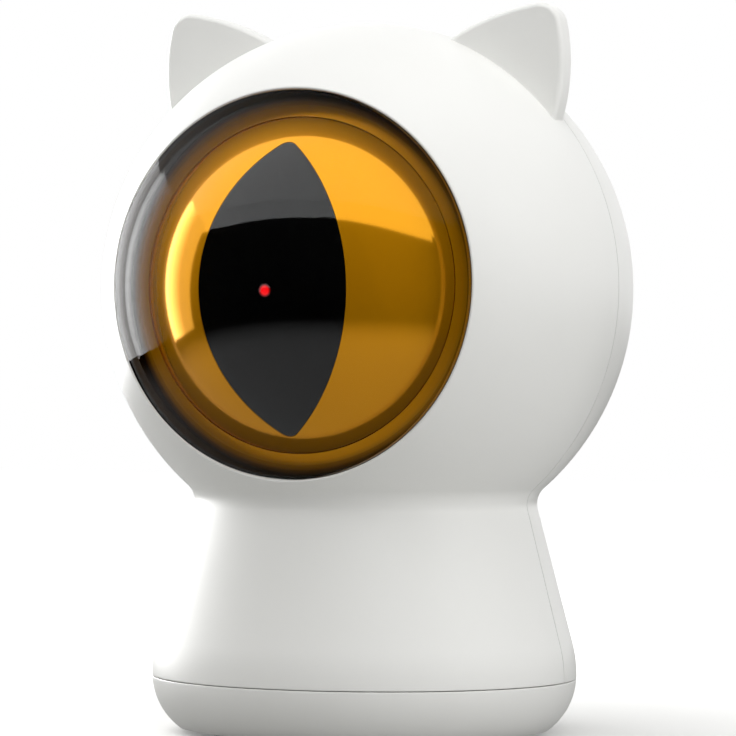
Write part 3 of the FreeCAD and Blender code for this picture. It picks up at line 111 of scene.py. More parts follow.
looks = {
    # satin white ABS from a spark-eroded mould: fine even grain, soft wide highlights
    "shell_white": finish("satinMouldedAbs", "f1f1ee", "efefec", 22, 0.35, 0.004, (0.36, 0.42), IOR=1.53),
    # polished acrylic: clear and sharp; IOR far below acrylic's 1.49, matched to a cover that mirrors little
    "clear_cover": finish("dippedAcrylic", "ffffff", "fdfefe", 15, 6, 0.0004, (0.0, 0.01), IOR=1.12,
                          **{"Transmission Weight": 1.0}),
    # glossy black ABS: deep black that still mirrors lamps
    "gloss_black": finish("glossBlackAbs", "101010", "0b0b0b", 8, 3, 0.001, (0.16, 0.22), IOR=1.5),
    # metallised polycarbonate under tinted lacquer: the lacquer glows orange where the mirror sees nothing
    "gold_mirror": finish("lacqueredGold", "f9aa0d", "f6a60b", 14, 4, 0.0006, (0.07, 0.1), Metallic=0.62),
    # smoked polycarbonate, polished: nearly black, clear sharp reflection
    "smoked_window": finish("smokedPolycarbonate", "060606", "030303", 10, 5, 0.0004, (0.03, 0.05), IOR=1.6),
    # matt black glass-filled nylon: dusty grey sheen
    "inner_black": finish("filledNylon", "2b2b2d", "222224", 6, 0.3, 0.01, (0.5, 0.62)),
    # unpainted white ABS on the inside of the foot
    "inner_white": finish("plainMouldedAbs", "dddcd6", "d6d5cf", 12, 0.4, 0.006, (0.42, 0.5)),
    # natural acetal: milky, waxy
    "gear_plastic": finish("naturalAcetal", "e8e4d8", "dfdacd", 5, 0.5, 0.004, (0.3, 0.38)),
    # zinc-plated steel: grey with a faint bluish cast
    "screw_steel": finish("zincPlatedSteel", "b9bcc2", "a4a7ad", 1.2, 0.1, 0.004, (0.25, 0.36), Metallic=1.0),
    # drawn and nickel-plated can: lines along the drawing direction
    "motor_can": finish("nickelPlatedCan", "c2c3c4", "aeb0b2", 2, 0.15, 0.003, (0.2, 0.3), (1, 1, 0.1),
                        Metallic=1.0),
    # turned brass: fine rings round its axis
    "laser_brass": finish("turnedBrass", "cfa24f", "b98a3c", 2, 0.12, 0.004, (0.22, 0.32), (0.1, 1, 0.1),
                          Metallic=1.0),
    # sintered bronze: dull with visible grains
    "bush_bronze": finish("sinteredBronze", "9c7443", "7d5a31", 0.4, 0.15, 0.02, (0.42, 0.55), Metallic=1.0),
    # polished optical glass
    "laser_glass": finish("polishedGlass", "fdfefe", "fafcfd", 4, 2, 0.0003, (0.0, 0.02), IOR=1.52,
                          **{"Transmission Weight": 1.0}),
    # solder mask over copper: green with darker laminate between the tracks
    "board_green": finish("solderMask", "1f6b3c", "124a28", 1.6, 0.25, 0.01, (0.28, 0.4)),
    # moulded epoxy of a chip package
    "chip_black": finish("mouldedEpoxy", "232323", "191919", 1.5, 0.12, 0.008, (0.5, 0.65)),
    # nickel-plated pressed shell of the socket
    "socket_metal": finish("platedPressing", "c8c9ca", "b4b5b6", 1, 0.12, 0.002, (0.16, 0.26), Metallic=1.0),
    # nickel-plated contact strip
    "contact_metal": finish("platedStrip", "c6c4bd", "b1afa8", 1, 0.12, 0.003, (0.2, 0.32), Metallic=1.0),
    # shrink sleeve over a cell: smooth dark film
    "cell_wrap": finish("shrinkSleeve", "3d434d", "31363f", 6, 0.8, 0.006, (0.22, 0.32)),
    # moulded silicone foot: matt, faintly dusty
    "foot_rubber": finish("mouldedSilicone", "3a3a3a", "2d2d2d", 3, 0.25, 0.012, (0.68, 0.8)),
    # frosted polycarbonate light pipe
    "light_clear": finish("frostedPolycarbonate", "f2f3ef", "e9ebe6", 2, 0.3, 0.004, (0.25, 0.4), IOR=1.58,
                          **{"Transmission Weight": 0.6}),
}


def lightPasses(material):
    # lamps shine through the clear pieces instead of casting a black shadow behind them
    tree = material.node_tree
    path = addNode(tree, "ShaderNodeLightPath")
    through = addNode(tree, "ShaderNodeBsdfTransparent")
    mixed = addNode(tree, "ShaderNodeMixShader", links={
        0: path.outputs["Is Shadow Ray"], 1: tree.nodes["shader"].outputs[0], 2: through.outputs[0]})
    tree.links.new(mixed.outputs[0], tree.nodes["out"].inputs["Surface"])


for clearSlot in ("clear_cover", "laser_glass"):
    lightPasses(looks[clearSlot])

# painted reflection round the dome: the gloss black ring gets a gold colour, metallic and rougher at its
# inner edge, that stands in for the gold dome mirrored in it and is brightened against the shade under the
# shell's rim; it fades into gloss black towards the rim
paintedReflectionBand = dict(inner=23.75, outer=27.2)
ringLook = looks["gloss_black"]
ringTree = ringLook.node_tree
ringPlace = addNode(ringTree, "ShaderNodeTexCoord").outputs["Object"]
ringFlat = addNode(ringTree, "ShaderNodeMapping", {"Location": (0, 0, -head["centre"][2] * mm),
                                                   "Scale": (1, 0, 1)}, {"Vector": ringPlace})
ringOut = addNode(ringTree, "ShaderNodeVectorMath", {"operation": "LENGTH"}, {0: ringFlat.outputs[0]})
ringShare = addNode(ringTree, "ShaderNodeMapRange",
                    {"From Min": paintedReflectionBand["inner"] * mm, "From Max": paintedReflectionBand["outer"] * mm},
                    {"Value": ringOut.outputs["Value"]})
# painted reflection: gold at the dome's edge, darkening to black outward
paintedReflectionTone = ramp(ringTree, ringShare.outputs[0], (
    (0.0, colour("f9aa0d")), (0.28, colour("f2a30c")), (0.69, colour("5c3803")), (0.85, colour("1e1001")),
    (1.0, colour("050505"))))
metalShare = ramp(ringTree, ringShare.outputs[0], ((0.25, grey(0.7)), (0.75, grey(0))))
ringRoughness = ramp(ringTree, ringShare.outputs[0], ((0.25, grey(0.4)), (0.8, grey(0.08))))
ringTree.links.new(paintedReflectionTone, ringTree.nodes["shader"].inputs["Base Color"])
ringTree.links.new(metalShare, ringTree.nodes["shader"].inputs["Metallic"])
ringTree.links.new(ringRoughness, ringTree.nodes["shader"].inputs["Roughness"])
ringTree.nodes["shader"].inputs["Specular IOR Level"].default_value = 0.15
print("materials made:", len(looks))


def drawChain(bm, start, runs, closed=False):
    # a run is a straight (x, z), or an arc (centre x, centre z, degrees anticlockwise, steps)
    first = last = bm.verts.new((start[0], 0, start[1]))
    for run in runs:
        if len(run) == 2:
            last = bmesh.ops.extrude_vert_indiv(bm, verts=[last])["verts"][0]
            last.co = (run[0], 0, run[1])
        else:
            spun = bmesh.ops.spin(bm, geom=[last], cent=(run[0], 0, run[1]), axis=(0, -1, 0),
                                  angle=math.radians(run[2]), steps=run[3])
            last = [item for item in spun["geom_last"] if isinstance(item, bmesh.types.BMVert)][0]
    if closed:
        bm.edges.new((last, first))


def turnChain(bm, start, runs, steps=180, place=None, closed=False):
    before = set(bm.verts)
    drawChain(bm, start, runs, closed)
    chain = [v for v in bm.verts if v not in before]
    edges = list({e for v in chain for e in v.link_edges})
    bmesh.ops.spin(bm, geom=chain + edges, cent=(0, 0, 0), axis=(0, 0, 1), angle=math.tau,
                   steps=steps, use_merge=True)
    fresh = [v for v in bm.verts if v not in before]
    bmesh.ops.remove_doubles(bm, verts=fresh, dist=0.0005)
    fresh = [v for v in bm.verts if v not in before]
    if place:
        bmesh.ops.transform(bm, matrix=place, verts=fresh)


def block(bm, low, high):
    made = bmesh.ops.create_cube(bm, size=1)["verts"]
    size = Vector(high) - Vector(low)
    bmesh.ops.scale(bm, vec=size, verts=made)
    bmesh.ops.translate(bm, vec=(Vector(low) + Vector(high)) / 2, verts=made)


def rod(bm, radius, start, end, x=0, z=0, steps=48):
    # round cutter or boss along Y
    made = bmesh.ops.create_cone(bm, cap_ends=True, segments=steps, radius1=radius, radius2=radius,
                                 depth=end - start)["verts"]
    bmesh.ops.rotate(bm, cent=(0, 0, 0), matrix=Matrix.Rotation(math.radians(90), 3, "X"), verts=made)
    bmesh.ops.translate(bm, vec=(x, (start + end) / 2, z), verts=made)


def makeObject(name, bm, outward=True):
    if outward:
        bmesh.ops.recalc_face_normals(bm, faces=bm.faces[:])
    bmesh.ops.scale(bm, vec=(mm, mm, mm), verts=bm.verts[:])
    mesh = bpy.data.meshes.new(name)
    bm.to_mesh(mesh)
    bm.free()
    made = bpy.data.objects.new(name, mesh)
    bpy.context.scene.collection.objects.link(made)
    return made


def applied(item):
    depsgraph = bpy.context.evaluated_depsgraph_get()
    mesh = bpy.data.meshes.new_from_object(item.evaluated_get(depsgraph))
    item.modifiers.clear()
    item.data = mesh


def combine(item, tool, operation):
    change = item.modifiers.new("combine", "BOOLEAN")
    change.operation = operation
    change.solver = "EXACT"
    change.object = tool
    applied(item)
    bpy.data.objects.remove(tool)


def finishPiece(item, body, slotName, *nodes, sharp=32):
    item.data.materials.clear()
    item.data.materials.append(looks[slotName])
    item.data.shade_smooth()
    item.data.set_sharp_from_angle(angle=math.radians(sharp))
    even = item.modifiers.new("evenShading", "WEIGHTED_NORMAL")
    even.keep_sharp = True
    applied(item)
    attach(item, body)
    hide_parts(*nodes)
    print("piece", item.name, len(item.data.polygons), "faces")


def skinRuns(inset, steps):
    # outer skin from the top of the head to the foot's lower edge, or the same set in by a wall
    turn = math.radians(foot["taper"])
    out = (math.cos(turn) * (foot["radius"] - foot["flare"])
           + math.sin(turn) * (foot["widest"] - head["centre"][2]) + foot["flare"] + foot["neckFillet"])
    reach = head["radius"] + foot["neckFillet"]
    fall = math.sqrt(reach ** 2 - out ** 2)
    filletX = out * math.cos(turn) + fall * math.sin(turn)
    filletZ = head["centre"][2] + out * math.sin(turn) - fall * math.cos(turn)
    downAngle = math.degrees(math.atan2(filletZ - head["centre"][2], filletX))
    flareX = foot["radius"] - foot["flare"]
    flare = foot["flare"] - inset
    top = (0, head["centre"][2] + head["radius"] - inset)
    runs = [
        (0, head["centre"][2], downAngle - 90, steps),
        (filletX, filletZ, foot["taper"] - downAngle, max(steps // 6, 6)),
        (flareX + flare * math.cos(turn), foot["widest"] + flare * math.sin(turn)),
        (flareX, foot["widest"], -foot["taper"], max(steps // 6, 6)),
    ]
    return top, runs


def shellChain(bm):
    top, outer = skinRuns(0, 92)
    edge = foot["edge"]
    drawChain(bm, top, outer + [
        (foot["radius"], foot["bottom"] + edge),
        (foot["radius"] - edge, foot["bottom"] + edge, -90, 5),
        (foot["radius"] - head["wall"], foot["bottom"]),
        (foot["radius"] - head["wall"], foot["widest"]),
    ])
    inner = bmesh.new()
    innerTop, innerRuns = skinRuns(head["wall"], 60)
    drawChain(inner, innerTop, innerRuns)
    spare = bpy.data.meshes.new("spare")
    inner.to_mesh(spare)
    inner.free()
    bm.from_mesh(spare)
    bpy.data.meshes.remove(spare)
    bmesh.ops.remove_doubles(bm, verts=bm.verts[:], dist=0.001)


def headRadius(vert):
    return (vert.co - Vector(head["centre"])).length


def openRound(bm, side, rimRadius, rounding, deep, outerRadius):
    # a round opening in the head: side -1 is the front and 1 the back
    place = toFront if side < 0 else toBack
    radius = head["radius"]
    inner = radius - head["wall"]
    centreX = rimRadius + rounding
    centreH = math.sqrt((radius - rounding) ** 2 - centreX ** 2)
    start = (centreX * radius / (radius - rounding), centreH * radius / (radius - rounding))
    startAngle = math.degrees(math.atan2(centreH, centreX))
    innerH = math.sqrt(inner ** 2 - outerRadius ** 2)
    # each skin is cut this far outside the rim, and the bridge fills the band
    band = 0.25
    for size, height in ((radius, start[1] - band), (inner, innerH - band)):
        faces = [f for f in bm.faces if all(abs(headRadius(v) - size) < 0.03 for v in f.verts)]
        region = set(faces)
        for face in faces:
            region.update(face.verts)
            region.update(face.edges)
        bmesh.ops.bisect_plane(bm, geom=list(region), plane_co=(0, side * height, 0), plane_no=(0, side, 0),
                               clear_outer=True)
    openEdges = [e for e in bm.edges if len(e.link_faces) == 1]

    def loopAt(edges, size):
        return [e for e in edges
                if all(abs(headRadius(v) - size) < 0.05 and side * v.co.y > 5 for v in e.verts)]

    shellLoops = {size: loopAt(openEdges, size) for size in (radius, inner)}
    old = set(bm.edges)
    turnChain(bm, start, [(centreX, centreH, 180 - startAngle, 6), *deep, (outerRadius, innerH)],
              steps=240 if side < 0 else 96, place=place)
    rimEdges = [e for e in bm.edges if e not in old and len(e.link_faces) == 1]
    for size in (radius, inner):
        rim = loopAt(rimEdges, size)
        bmesh.ops.bridge_loops(bm, edges=shellLoops[size] + rim)


def halfShell(side, seam):
    bm = bmesh.new()
    shellChain(bm)
    bmesh.ops.spin(bm, geom=bm.verts[:] + bm.edges[:], cent=(0, 0, 0), axis=(0, 0, 1),
                   angle=side * math.pi, steps=120)
    bmesh.ops.remove_doubles(bm, verts=bm.verts[:], dist=0.001)
    ends = [e for e in bm.edges if len(e.link_faces) == 1 and all(abs(v.co.y) < 0.01 for v in e.verts)]
    for vert in {v for e in ends for v in e.verts}:
        vert.co.y = seam
    bmesh.ops.edgeloop_fill(bm, edges=ends)
    return bm


eye = dict(bore=27.5, rim=0.25, seatFront=19.4, seatRear=17.9, seatInner=24.2, collar=29.5)
frontMesh = halfShell(-1, head["seamFront"])
openRound(frontMesh, -1, eye["bore"], eye["rim"],
          [(eye["bore"], eye["seatFront"]), (eye["seatInner"], eye["seatFront"]),
           (eye["seatInner"], eye["seatRear"]), (eye["collar"], eye["seatRear"])], eye["collar"])
finishPiece(makeObject("frontShell", frontMesh), "root", "shell_white", "front_shell")

button = dict(hole=5.15, rim=0.25, sleeve=33.2, sleeveWall=1.4)
rearMesh = halfShell(1, head["seamRear"])
openRound(rearMesh, 1, button["hole"], button["rim"],
          [(button["hole"], button["sleeve"]), (button["hole"] + button["sleeveWall"], button["sleeve"])],
          button["hole"] + button["sleeveWall"])
rearShell = makeObject("rearShell", rearMesh)

back = dict(screwX=27.5, screwZ=48, screwSeat=12, well=1.9, boss=2.6, shank=1.0, lightZ=54, lightHole=1.15,
            lightStart=30, portZ=26.85, portWidth=11.4, portHeight=7.6, portBottom=22.4, portWall=1.2,
            plugWidth=7.8, plugLow=25.35, plugHigh=28.35, reach=60, skinInset=0.4, bossFloor=2, shankDeep=3,
            plugDeep=2, overrun=1)

skinMesh = bmesh.new()
skinTop, skinPath = skinRuns(back["skinInset"], 60)
turnChain(skinMesh, skinTop, skinPath + [(0, foot["widest"])])
inside = makeObject("inside", skinMesh)
fillMesh = bmesh.new()
for side in (-1, 1):
    rod(fillMesh, back["boss"], back["screwSeat"] - back["bossFloor"], back["reach"], side * back["screwX"],
        back["screwZ"])
halfPort = back["portWidth"] / 2
tallPort = back["portHeight"] / 2
block(fillMesh, (-halfPort - back["portWall"], back["portBottom"] - back["portWall"],
                 back["portZ"] - tallPort - back["portWall"]),
      (halfPort + back["portWall"], back["reach"], back["portZ"] + tallPort + back["portWall"]))
filling = makeObject("filling", fillMesh)
combine(filling, inside, "INTERSECT")
combine(rearShell, filling, "UNION")
holeMesh = bmesh.new()
for side in (-1, 1):
    rod(holeMesh, back["well"], back["screwSeat"], back["reach"], side * back["screwX"], back["screwZ"])
rod(holeMesh, back["lightHole"], back["lightStart"], back["reach"], 0, back["lightZ"])
block(holeMesh, (-halfPort, back["portBottom"], back["portZ"] - tallPort),
      (halfPort, back["reach"], back["portZ"] + tallPort))
holes = makeObject("holes", holeMesh)
combine(rearShell, holes, "DIFFERENCE")
slotMesh = bmesh.new()
block(slotMesh, (-back["plugWidth"] / 2, back["portBottom"] - back["plugDeep"], back["plugLow"]),
      (back["plugWidth"] / 2, back["portBottom"] + back["overrun"], back["plugHigh"]))
for side in (-1, 1):
    rod(slotMesh, back["shank"], back["screwSeat"] - back["shankDeep"],
        back["screwSeat"] + back["overrun"], side * back["screwX"], back["screwZ"], 24)
combine(rearShell, makeObject("socketSlot", slotMesh), "DIFFERENCE")
finishPiece(rearShell, "root", "shell_white", "rear_shell")

cover = dict(radius=27.35, thick=1.5)
lensMesh = bmesh.new()
lensOut = head["radius"]
lensIn = lensOut - cover["thick"]
halfOut = math.degrees(math.asin(cover["radius"] / lensOut))
halfIn = math.degrees(math.asin(cover["radius"] / lensIn))
turnChain(lensMesh, (0, lensOut), [
    (0, 0, -halfOut, 60), (cover["radius"], math.sqrt(lensIn ** 2 - cover["radius"] ** 2)),
    (0, 0, halfIn, 60)], steps=240, place=toFront)
finishPiece(makeObject("lensCover", lensMesh), "root", "clear_cover", "lens_cover")

# the ring's front falls from the dome's edge to the foot of a thin lip that carries the cover
ring = dict(outer=27.35, lip=26.85, inner=23.75, rear=21.0, lipFoot=23.122, top=25.65, tip=26.17, edge=24.022)
ringMesh = bmesh.new()
turnChain(ringMesh, (ring["outer"], ring["rear"]), [
    (ring["outer"], ring["top"]), (ring["lip"], ring["tip"]), (ring["lip"], ring["lipFoot"]),
    (ring["inner"], ring["edge"]), (ring["inner"], ring["rear"])], steps=240, place=toFront, closed=True)
finishPiece(makeObject("eyeRing", ringMesh), "root", "gloss_black", "eye_bezel")

dome = dict(radius=30, forward=5.5, edge=23.6, thick=1, seat=19.4, flange=27.35, flangeThick=1.6)
pupil = dict(halfWidth=11.3, arc=25.3, tip=2, drop=0.7, gap=0.075, thick=1.7, sink=0.02)


def pupilLoop(bm, grow, steps=64):
    # pointed oval made of two side arcs and two small tip arcs, drawn round the head's axis
    offset = pupil["arc"] - pupil["halfWidth"]
    tipUp = math.sqrt((pupil["arc"] - pupil["tip"]) ** 2 - offset ** 2)
    lean = math.degrees(math.atan2(tipUp, offset))
    side = pupil["arc"] + grow
    startX = side * math.cos(math.radians(-lean)) - offset
    startZ = side * math.sin(math.radians(-lean)) - pupil["drop"]
    before = set(bm.verts)
    drawChain(bm, (startX, startZ), [
        (-offset, -pupil["drop"], 2 * lean, steps),
        (0, tipUp - pupil["drop"], 180 - 2 * lean, 10),
        (offset, -pupil["drop"], 2 * lean, steps),
        (0, -tipUp - pupil["drop"], 180 - 2 * lean, 10)])
    fresh = [v for v in bm.verts if v not in before]
    bmesh.ops.remove_doubles(bm, verts=fresh, dist=0.01)
    return [v for v in bm.verts if v not in before]


def ontoDome(verts, radius):
    # each point goes straight forward or back, to a sphere round the dome's centre
    for vert in verts:
        across = math.hypot(vert.co.x, vert.co.z)
        vert.co.y = -dome["forward"] - math.sqrt(radius ** 2 - across ** 2)


irisMesh = bmesh.new()
pupilEdge = pupilLoop(irisMesh, 0)
rimCount = len(pupilEdge)
rimMade = bmesh.ops.create_circle(irisMesh, segments=rimCount, radius=dome["edge"])["verts"]
bmesh.ops.rotate(irisMesh, cent=(0, 0, 0), matrix=Matrix.Rotation(math.radians(90), 3, "X"), verts=rimMade)
bmesh.ops.bridge_loops(irisMesh, edges=irisMesh.edges[:])
spokes = [e for e in irisMesh.edges if len(e.link_faces) == 2]
bmesh.ops.subdivide_edges(irisMesh, edges=spokes, cuts=24, use_grid_fill=True)
ontoDome(irisMesh.verts, dome["radius"])
rimLoop = [e for e in irisMesh.edges if len(e.link_faces) == 1 and all(
    abs(math.hypot(v.co.x, v.co.z) - dome["edge"]) < 0.02 for v in e.verts)]


def pullOut(bm, edges, y=None, radius=None):
    grown = bmesh.ops.extrude_edge_only(bm, edges=edges)["geom"]
    verts = [item for item in grown if isinstance(item, bmesh.types.BMVert)]
    for vert in verts:
        if y is not None:
            vert.co.y = y
        if radius is not None:
            scale = radius / math.hypot(vert.co.x, vert.co.z)
            vert.co.x *= scale
            vert.co.z *= scale
    return [item for item in grown if isinstance(item, bmesh.types.BMEdge)
            and len(item.link_faces) == 1]


skirt = pullOut(irisMesh, rimLoop, y=-dome["seat"] - dome["flangeThick"] / 2)
pullOut(irisMesh, skirt, radius=dome["flange"])
bmesh.ops.translate(irisMesh, vec=(0, 0, head["centre"][2]), verts=irisMesh.verts[:])
iris = makeObject("goldIris", irisMesh)
wall = iris.modifiers.new("wall", "SOLIDIFY")
wall.thickness = dome["thick"] * mm
wall.offset = -1
applied(iris)
finishPiece(iris, "root", "gold_mirror", "iris_dome")

windowMesh = bmesh.new()
pupilLoop(windowMesh, -pupil["gap"])
ringEdges = windowMesh.edges[:]
previous = 1.0
for share in (0.97, 0.9, 0.8, 0.7, 0.6, 0.5, 0.4, 0.3, 0.2, 0.1, 0.03):
    grown = bmesh.ops.extrude_edge_only(windowMesh, edges=ringEdges)["geom"]
    loopVerts = [item for item in grown if isinstance(item, bmesh.types.BMVert)]
    bmesh.ops.scale(windowMesh, vec=(share / previous,) * 3, verts=loopVerts,
                    space=Matrix.Translation((0, 0, pupil["drop"])))
    previous = share
    ringEdges = [item for item in grown if isinstance(item, bmesh.types.BMEdge)
                 and all(v in loopVerts for v in item.verts)]
bmesh.ops.edgeloop_fill(windowMesh, edges=ringEdges)
ontoDome(windowMesh.verts, dome["radius"] - pupil["sink"])
bmesh.ops.translate(windowMesh, vec=(0, 0, head["centre"][2]), verts=windowMesh.verts[:])
window = makeObject("slitWindow", windowMesh)
glass = window.modifiers.new("wall", "SOLIDIFY")
glass.thickness = pupil["thick"] * mm
glass.offset = -1
applied(window)
finishPiece(window, "root", "smoked_window", "pupil_window")

ear = dict(front=3.6, thick=3.9, tipX=27.8, tipUp=37.75, tip=3.4, top=36.7, side=28.8, topTurn=98.8,
           sideTurn=11.7, seat=38.4, edge=0.8)


def meetHead(centre, radius, seat, guess):
    # angle, on the arc round that centre, where it meets a circle round the head's centre
    apart = math.hypot(centre[0], centre[1])
    toHead = math.degrees(math.atan2(-centre[1], -centre[0]))
    spread = math.degrees(math.acos((apart ** 2 + radius ** 2 - seat ** 2) / (2 * apart * radius)))
    return min((toHead + spread, toHead - spread), key=lambda a: abs((a - guess + 180) % 360 - 180))


def earOutline(bm):
    # closed outline about the head's centre, drawn in the XZ plane
    seat = ear["seat"]
    top = (ear["tipX"] - (ear["top"] - ear["tip"]) * math.cos(math.radians(ear["topTurn"])),
           ear["tipUp"] - (ear["top"] - ear["tip"]) * math.sin(math.radians(ear["topTurn"])))
    outer = (ear["tipX"] - (ear["side"] - ear["tip"]) * math.cos(math.radians(ear["sideTurn"])),
             ear["tipUp"] - (ear["side"] - ear["tip"]) * math.sin(math.radians(ear["sideTurn"])))
    innerEnd = meetHead(top, ear["top"], seat, ear["topTurn"] + 12) % 360
    outerEnd = meetHead(outer, ear["side"], seat, ear["sideTurn"] - 25)
    outerEnd = (outerEnd + 180) % 360 - 180
    start = (top[0] + ear["top"] * math.cos(math.radians(innerEnd)),
             top[1] + ear["top"] * math.sin(math.radians(innerEnd)))
    end = (outer[0] + ear["side"] * math.cos(math.radians(outerEnd)),
           outer[1] + ear["side"] * math.sin(math.radians(outerEnd)))
    closing = math.degrees(math.atan2(start[1], start[0]) - math.atan2(end[1], end[0]))
    drawChain(bm, start, [
        (*top, ear["topTurn"] - innerEnd, 24),
        (ear["tipX"], ear["tipUp"], ear["sideTurn"] - ear["topTurn"], 24),
        (*outer, outerEnd - ear["sideTurn"], 24),
        (0, 0, closing, 20)])
    bmesh.ops.remove_doubles(bm, verts=bm.verts[:], dist=0.01)


def earPrism():
    bm = bmesh.new()
    earOutline(bm)
    face = bmesh.ops.edgeloop_fill(bm, edges=bm.edges[:])["faces"]
    bmesh.ops.translate(bm, vec=(0, -ear["front"], 0), verts=bm.verts[:])
    grown = bmesh.ops.extrude_face_region(bm, geom=face, use_keep_orig=True)["geom"]
    raised = [v for v in grown if isinstance(v, bmesh.types.BMVert)]
    bmesh.ops.translate(bm, vec=(0, ear["thick"], 0), verts=raised)
    bmesh.ops.recalc_face_normals(bm, faces=bm.faces[:])
    return bm


def freeRims(bm):
    # rim edges of both flat faces, without those that run along the head
    return [e for e in bm.edges
            if abs(e.verts[0].co.y - e.verts[1].co.y) < 0.01
            and not all(abs(math.hypot(v.co.x, v.co.z) - ear["seat"]) < 0.02 for v in e.verts)]


for side, sideName in ((-1, "left"), (1, "right")):
    bm = earPrism()
    bmesh.ops.bevel(bm, geom=freeRims(bm), offset=ear["edge"], segments=6, affect="EDGES", profile=0.5,
                    material=-1)
    if side < 0:
        bmesh.ops.scale(bm, vec=(-1, 1, 1), verts=bm.verts[:])
    bmesh.ops.translate(bm, vec=(0, 0, head["centre"][2]), verts=bm.verts[:])
    finishPiece(makeObject(sideName + "Ear", bm), "root", "shell_white", sideName + "_ear")

# the gap over this cover, up to the foot's lower edge, is drawn finer than the solids' own
base = dict(low=0.8, high=8.19, roundX=21.25, roundR=9.9, edge=0.1, spigot=28.55, spigotTop=11.4,
            spigotIn=27.6, floor=3.0, ringOut=13, ringIn=11.8, ringTop=8.75, slotLength=14, slotWidth=2,
            slotTop=1.8, slotStart=-1, padRadius=3.5, padGap=0.15, padCircle=20, padTop=2.0, padEdge=0.35,
            padCut=3)
drop = foot["widest"] - base["low"]
footX = math.sqrt(base["roundR"] ** 2 - drop ** 2)
upZ = base["high"] - base["edge"]
lowTurn = math.degrees(math.atan2(-drop, footX))
highTurn = math.degrees(math.asin((upZ - foot["widest"]) / base["roundR"]))
sideX = base["roundX"] + base["roundR"] * math.cos(math.radians(highTurn))
coverMesh = bmesh.new()
turnChain(coverMesh, (0, base["low"]), [
    (base["roundX"] + footX, base["low"]), (base["roundX"], foot["widest"], highTurn - lowTurn, 28),
    (sideX - base["edge"], upZ, 90, 5), (base["spigot"], base["high"]), (base["spigot"], base["spigotTop"]),
    (base["spigotIn"], base["spigotTop"]), (base["spigotIn"], base["floor"]),
    (base["ringOut"], base["floor"]), (base["ringOut"], base["ringTop"]), (base["ringIn"], base["ringTop"]),
    (base["ringIn"], base["floor"]), (0, base["floor"])], steps=240)
bottomCover = makeObject("bottomCover", coverMesh)
padPlaces = [(base["padCircle"] * math.cos(math.radians(a)), base["padCircle"] * math.sin(math.radians(a)))
             for a in (45, 135, 225, 315)]
toolMesh = bmesh.new()
block(toolMesh, (-base["slotLength"] / 2, -base["slotWidth"] / 2, base["slotStart"]),
      (base["slotLength"] / 2, base["slotWidth"] / 2, base["slotTop"]))
for x, y in padPlaces:
    pocketVerts = bmesh.ops.create_cone(toolMesh, cap_ends=True, segments=72, depth=base["padCut"],
                                        radius1=base["padRadius"] + base["padGap"],
                                        radius2=base["padRadius"] + base["padGap"])["verts"]
    bmesh.ops.translate(toolMesh, vec=(x, y, base["padTop"] - base["padCut"] / 2), verts=pocketVerts)
combine(bottomCover, makeObject("coverTools", toolMesh), "DIFFERENCE")
finishPiece(bottomCover, "bottom_cover", "shell_white", "bottom_cover")

padMesh = bmesh.new()
for x, y in padPlaces:
    turnChain(padMesh, (0, 0), [
        (base["padRadius"] - base["padEdge"], 0),
        (base["padRadius"] - base["padEdge"], base["padEdge"], 90, 5),
        (base["padRadius"], base["padTop"]), (0, base["padTop"])],
        steps=64, place=Matrix.Translation((x, y, 0)))
finishPiece(makeObject("rubberFeet", padMesh), "bottom_cover", "foot_rubber", "rubber_feet")

knob = dict(radius=4.95, edge=0.3, rearFace=32.0, flange=6.0, flangeThick=0.9, stem=1.5, stemEnd=31.0)
knobMesh = bmesh.new()
roundX = knob["radius"] - knob["edge"]
roundH = math.sqrt((head["radius"] - knob["edge"]) ** 2 - roundX ** 2)
roundTurn = math.degrees(math.atan2(roundH, roundX))
turnChain(knobMesh, (0, head["radius"]), [
    (0, 0, roundTurn - 90, 16), (roundX, roundH, -roundTurn, 6),
    (knob["radius"], knob["rearFace"] + knob["flangeThick"]),
    (knob["flange"], knob["rearFace"] + knob["flangeThick"]), (knob["flange"], knob["rearFace"]),
    (knob["stem"], knob["rearFace"]), (knob["stem"], knob["stemEnd"]), (0, knob["stemEnd"])],
    steps=96, place=toBack)
finishPiece(makeObject("modeButton", knobMesh), "mode_button", "shell_white", "mode_button")

pipe = dict(radius=1.0, start=28.2, edge=0.12, sunk=0.02, sideDown=0.48, faceDown=0.36)
pipeMesh = bmesh.new()
pipeOut = math.sqrt(head["radius"] ** 2 - (head["centre"][2] - back["lightZ"]) ** 2) - pipe["sunk"]
turnChain(pipeMesh, (0, pipe["start"]), [
    (pipe["radius"], pipe["start"]), (pipe["radius"], pipeOut - pipe["sideDown"]),
    (pipe["radius"] - pipe["edge"], pipeOut - pipe["faceDown"]), (0, pipeOut - pipe["faceDown"])],
    steps=48, place=Matrix.Translation((0, 0, back["lightZ"])) @ Matrix.Rotation(math.radians(-90), 4, "X"))
finishPiece(makeObject("lightPipe", pipeMesh), "root", "light_clear", "light_pipe")

# lit spot on the smoked window, drawn dip degrees below the axis of the barrel, which itself has no dip
spot = dict(radius=0.95, distance=30.08, thick=0.05, dip=2, edgeDrop=0.01)
spotZ = head["centre"][2] - spot["distance"] * math.sin(math.radians(spot["dip"]))
spotMesh = bmesh.new()
turnChain(spotMesh, (0, spot["distance"]), [
    (spot["radius"], spot["distance"] - spot["edgeDrop"]),
    (spot["radius"], spot["distance"] - spot["thick"]), (0, spot["distance"] - spot["thick"])], steps=48,
    place=Matrix.Translation((0, -dome["forward"], head["centre"][2]))
    @ Matrix.Rotation(math.radians(90 + spot["dip"]), 4, "X"))
laserSpot = makeObject("laserSpot", spotMesh)
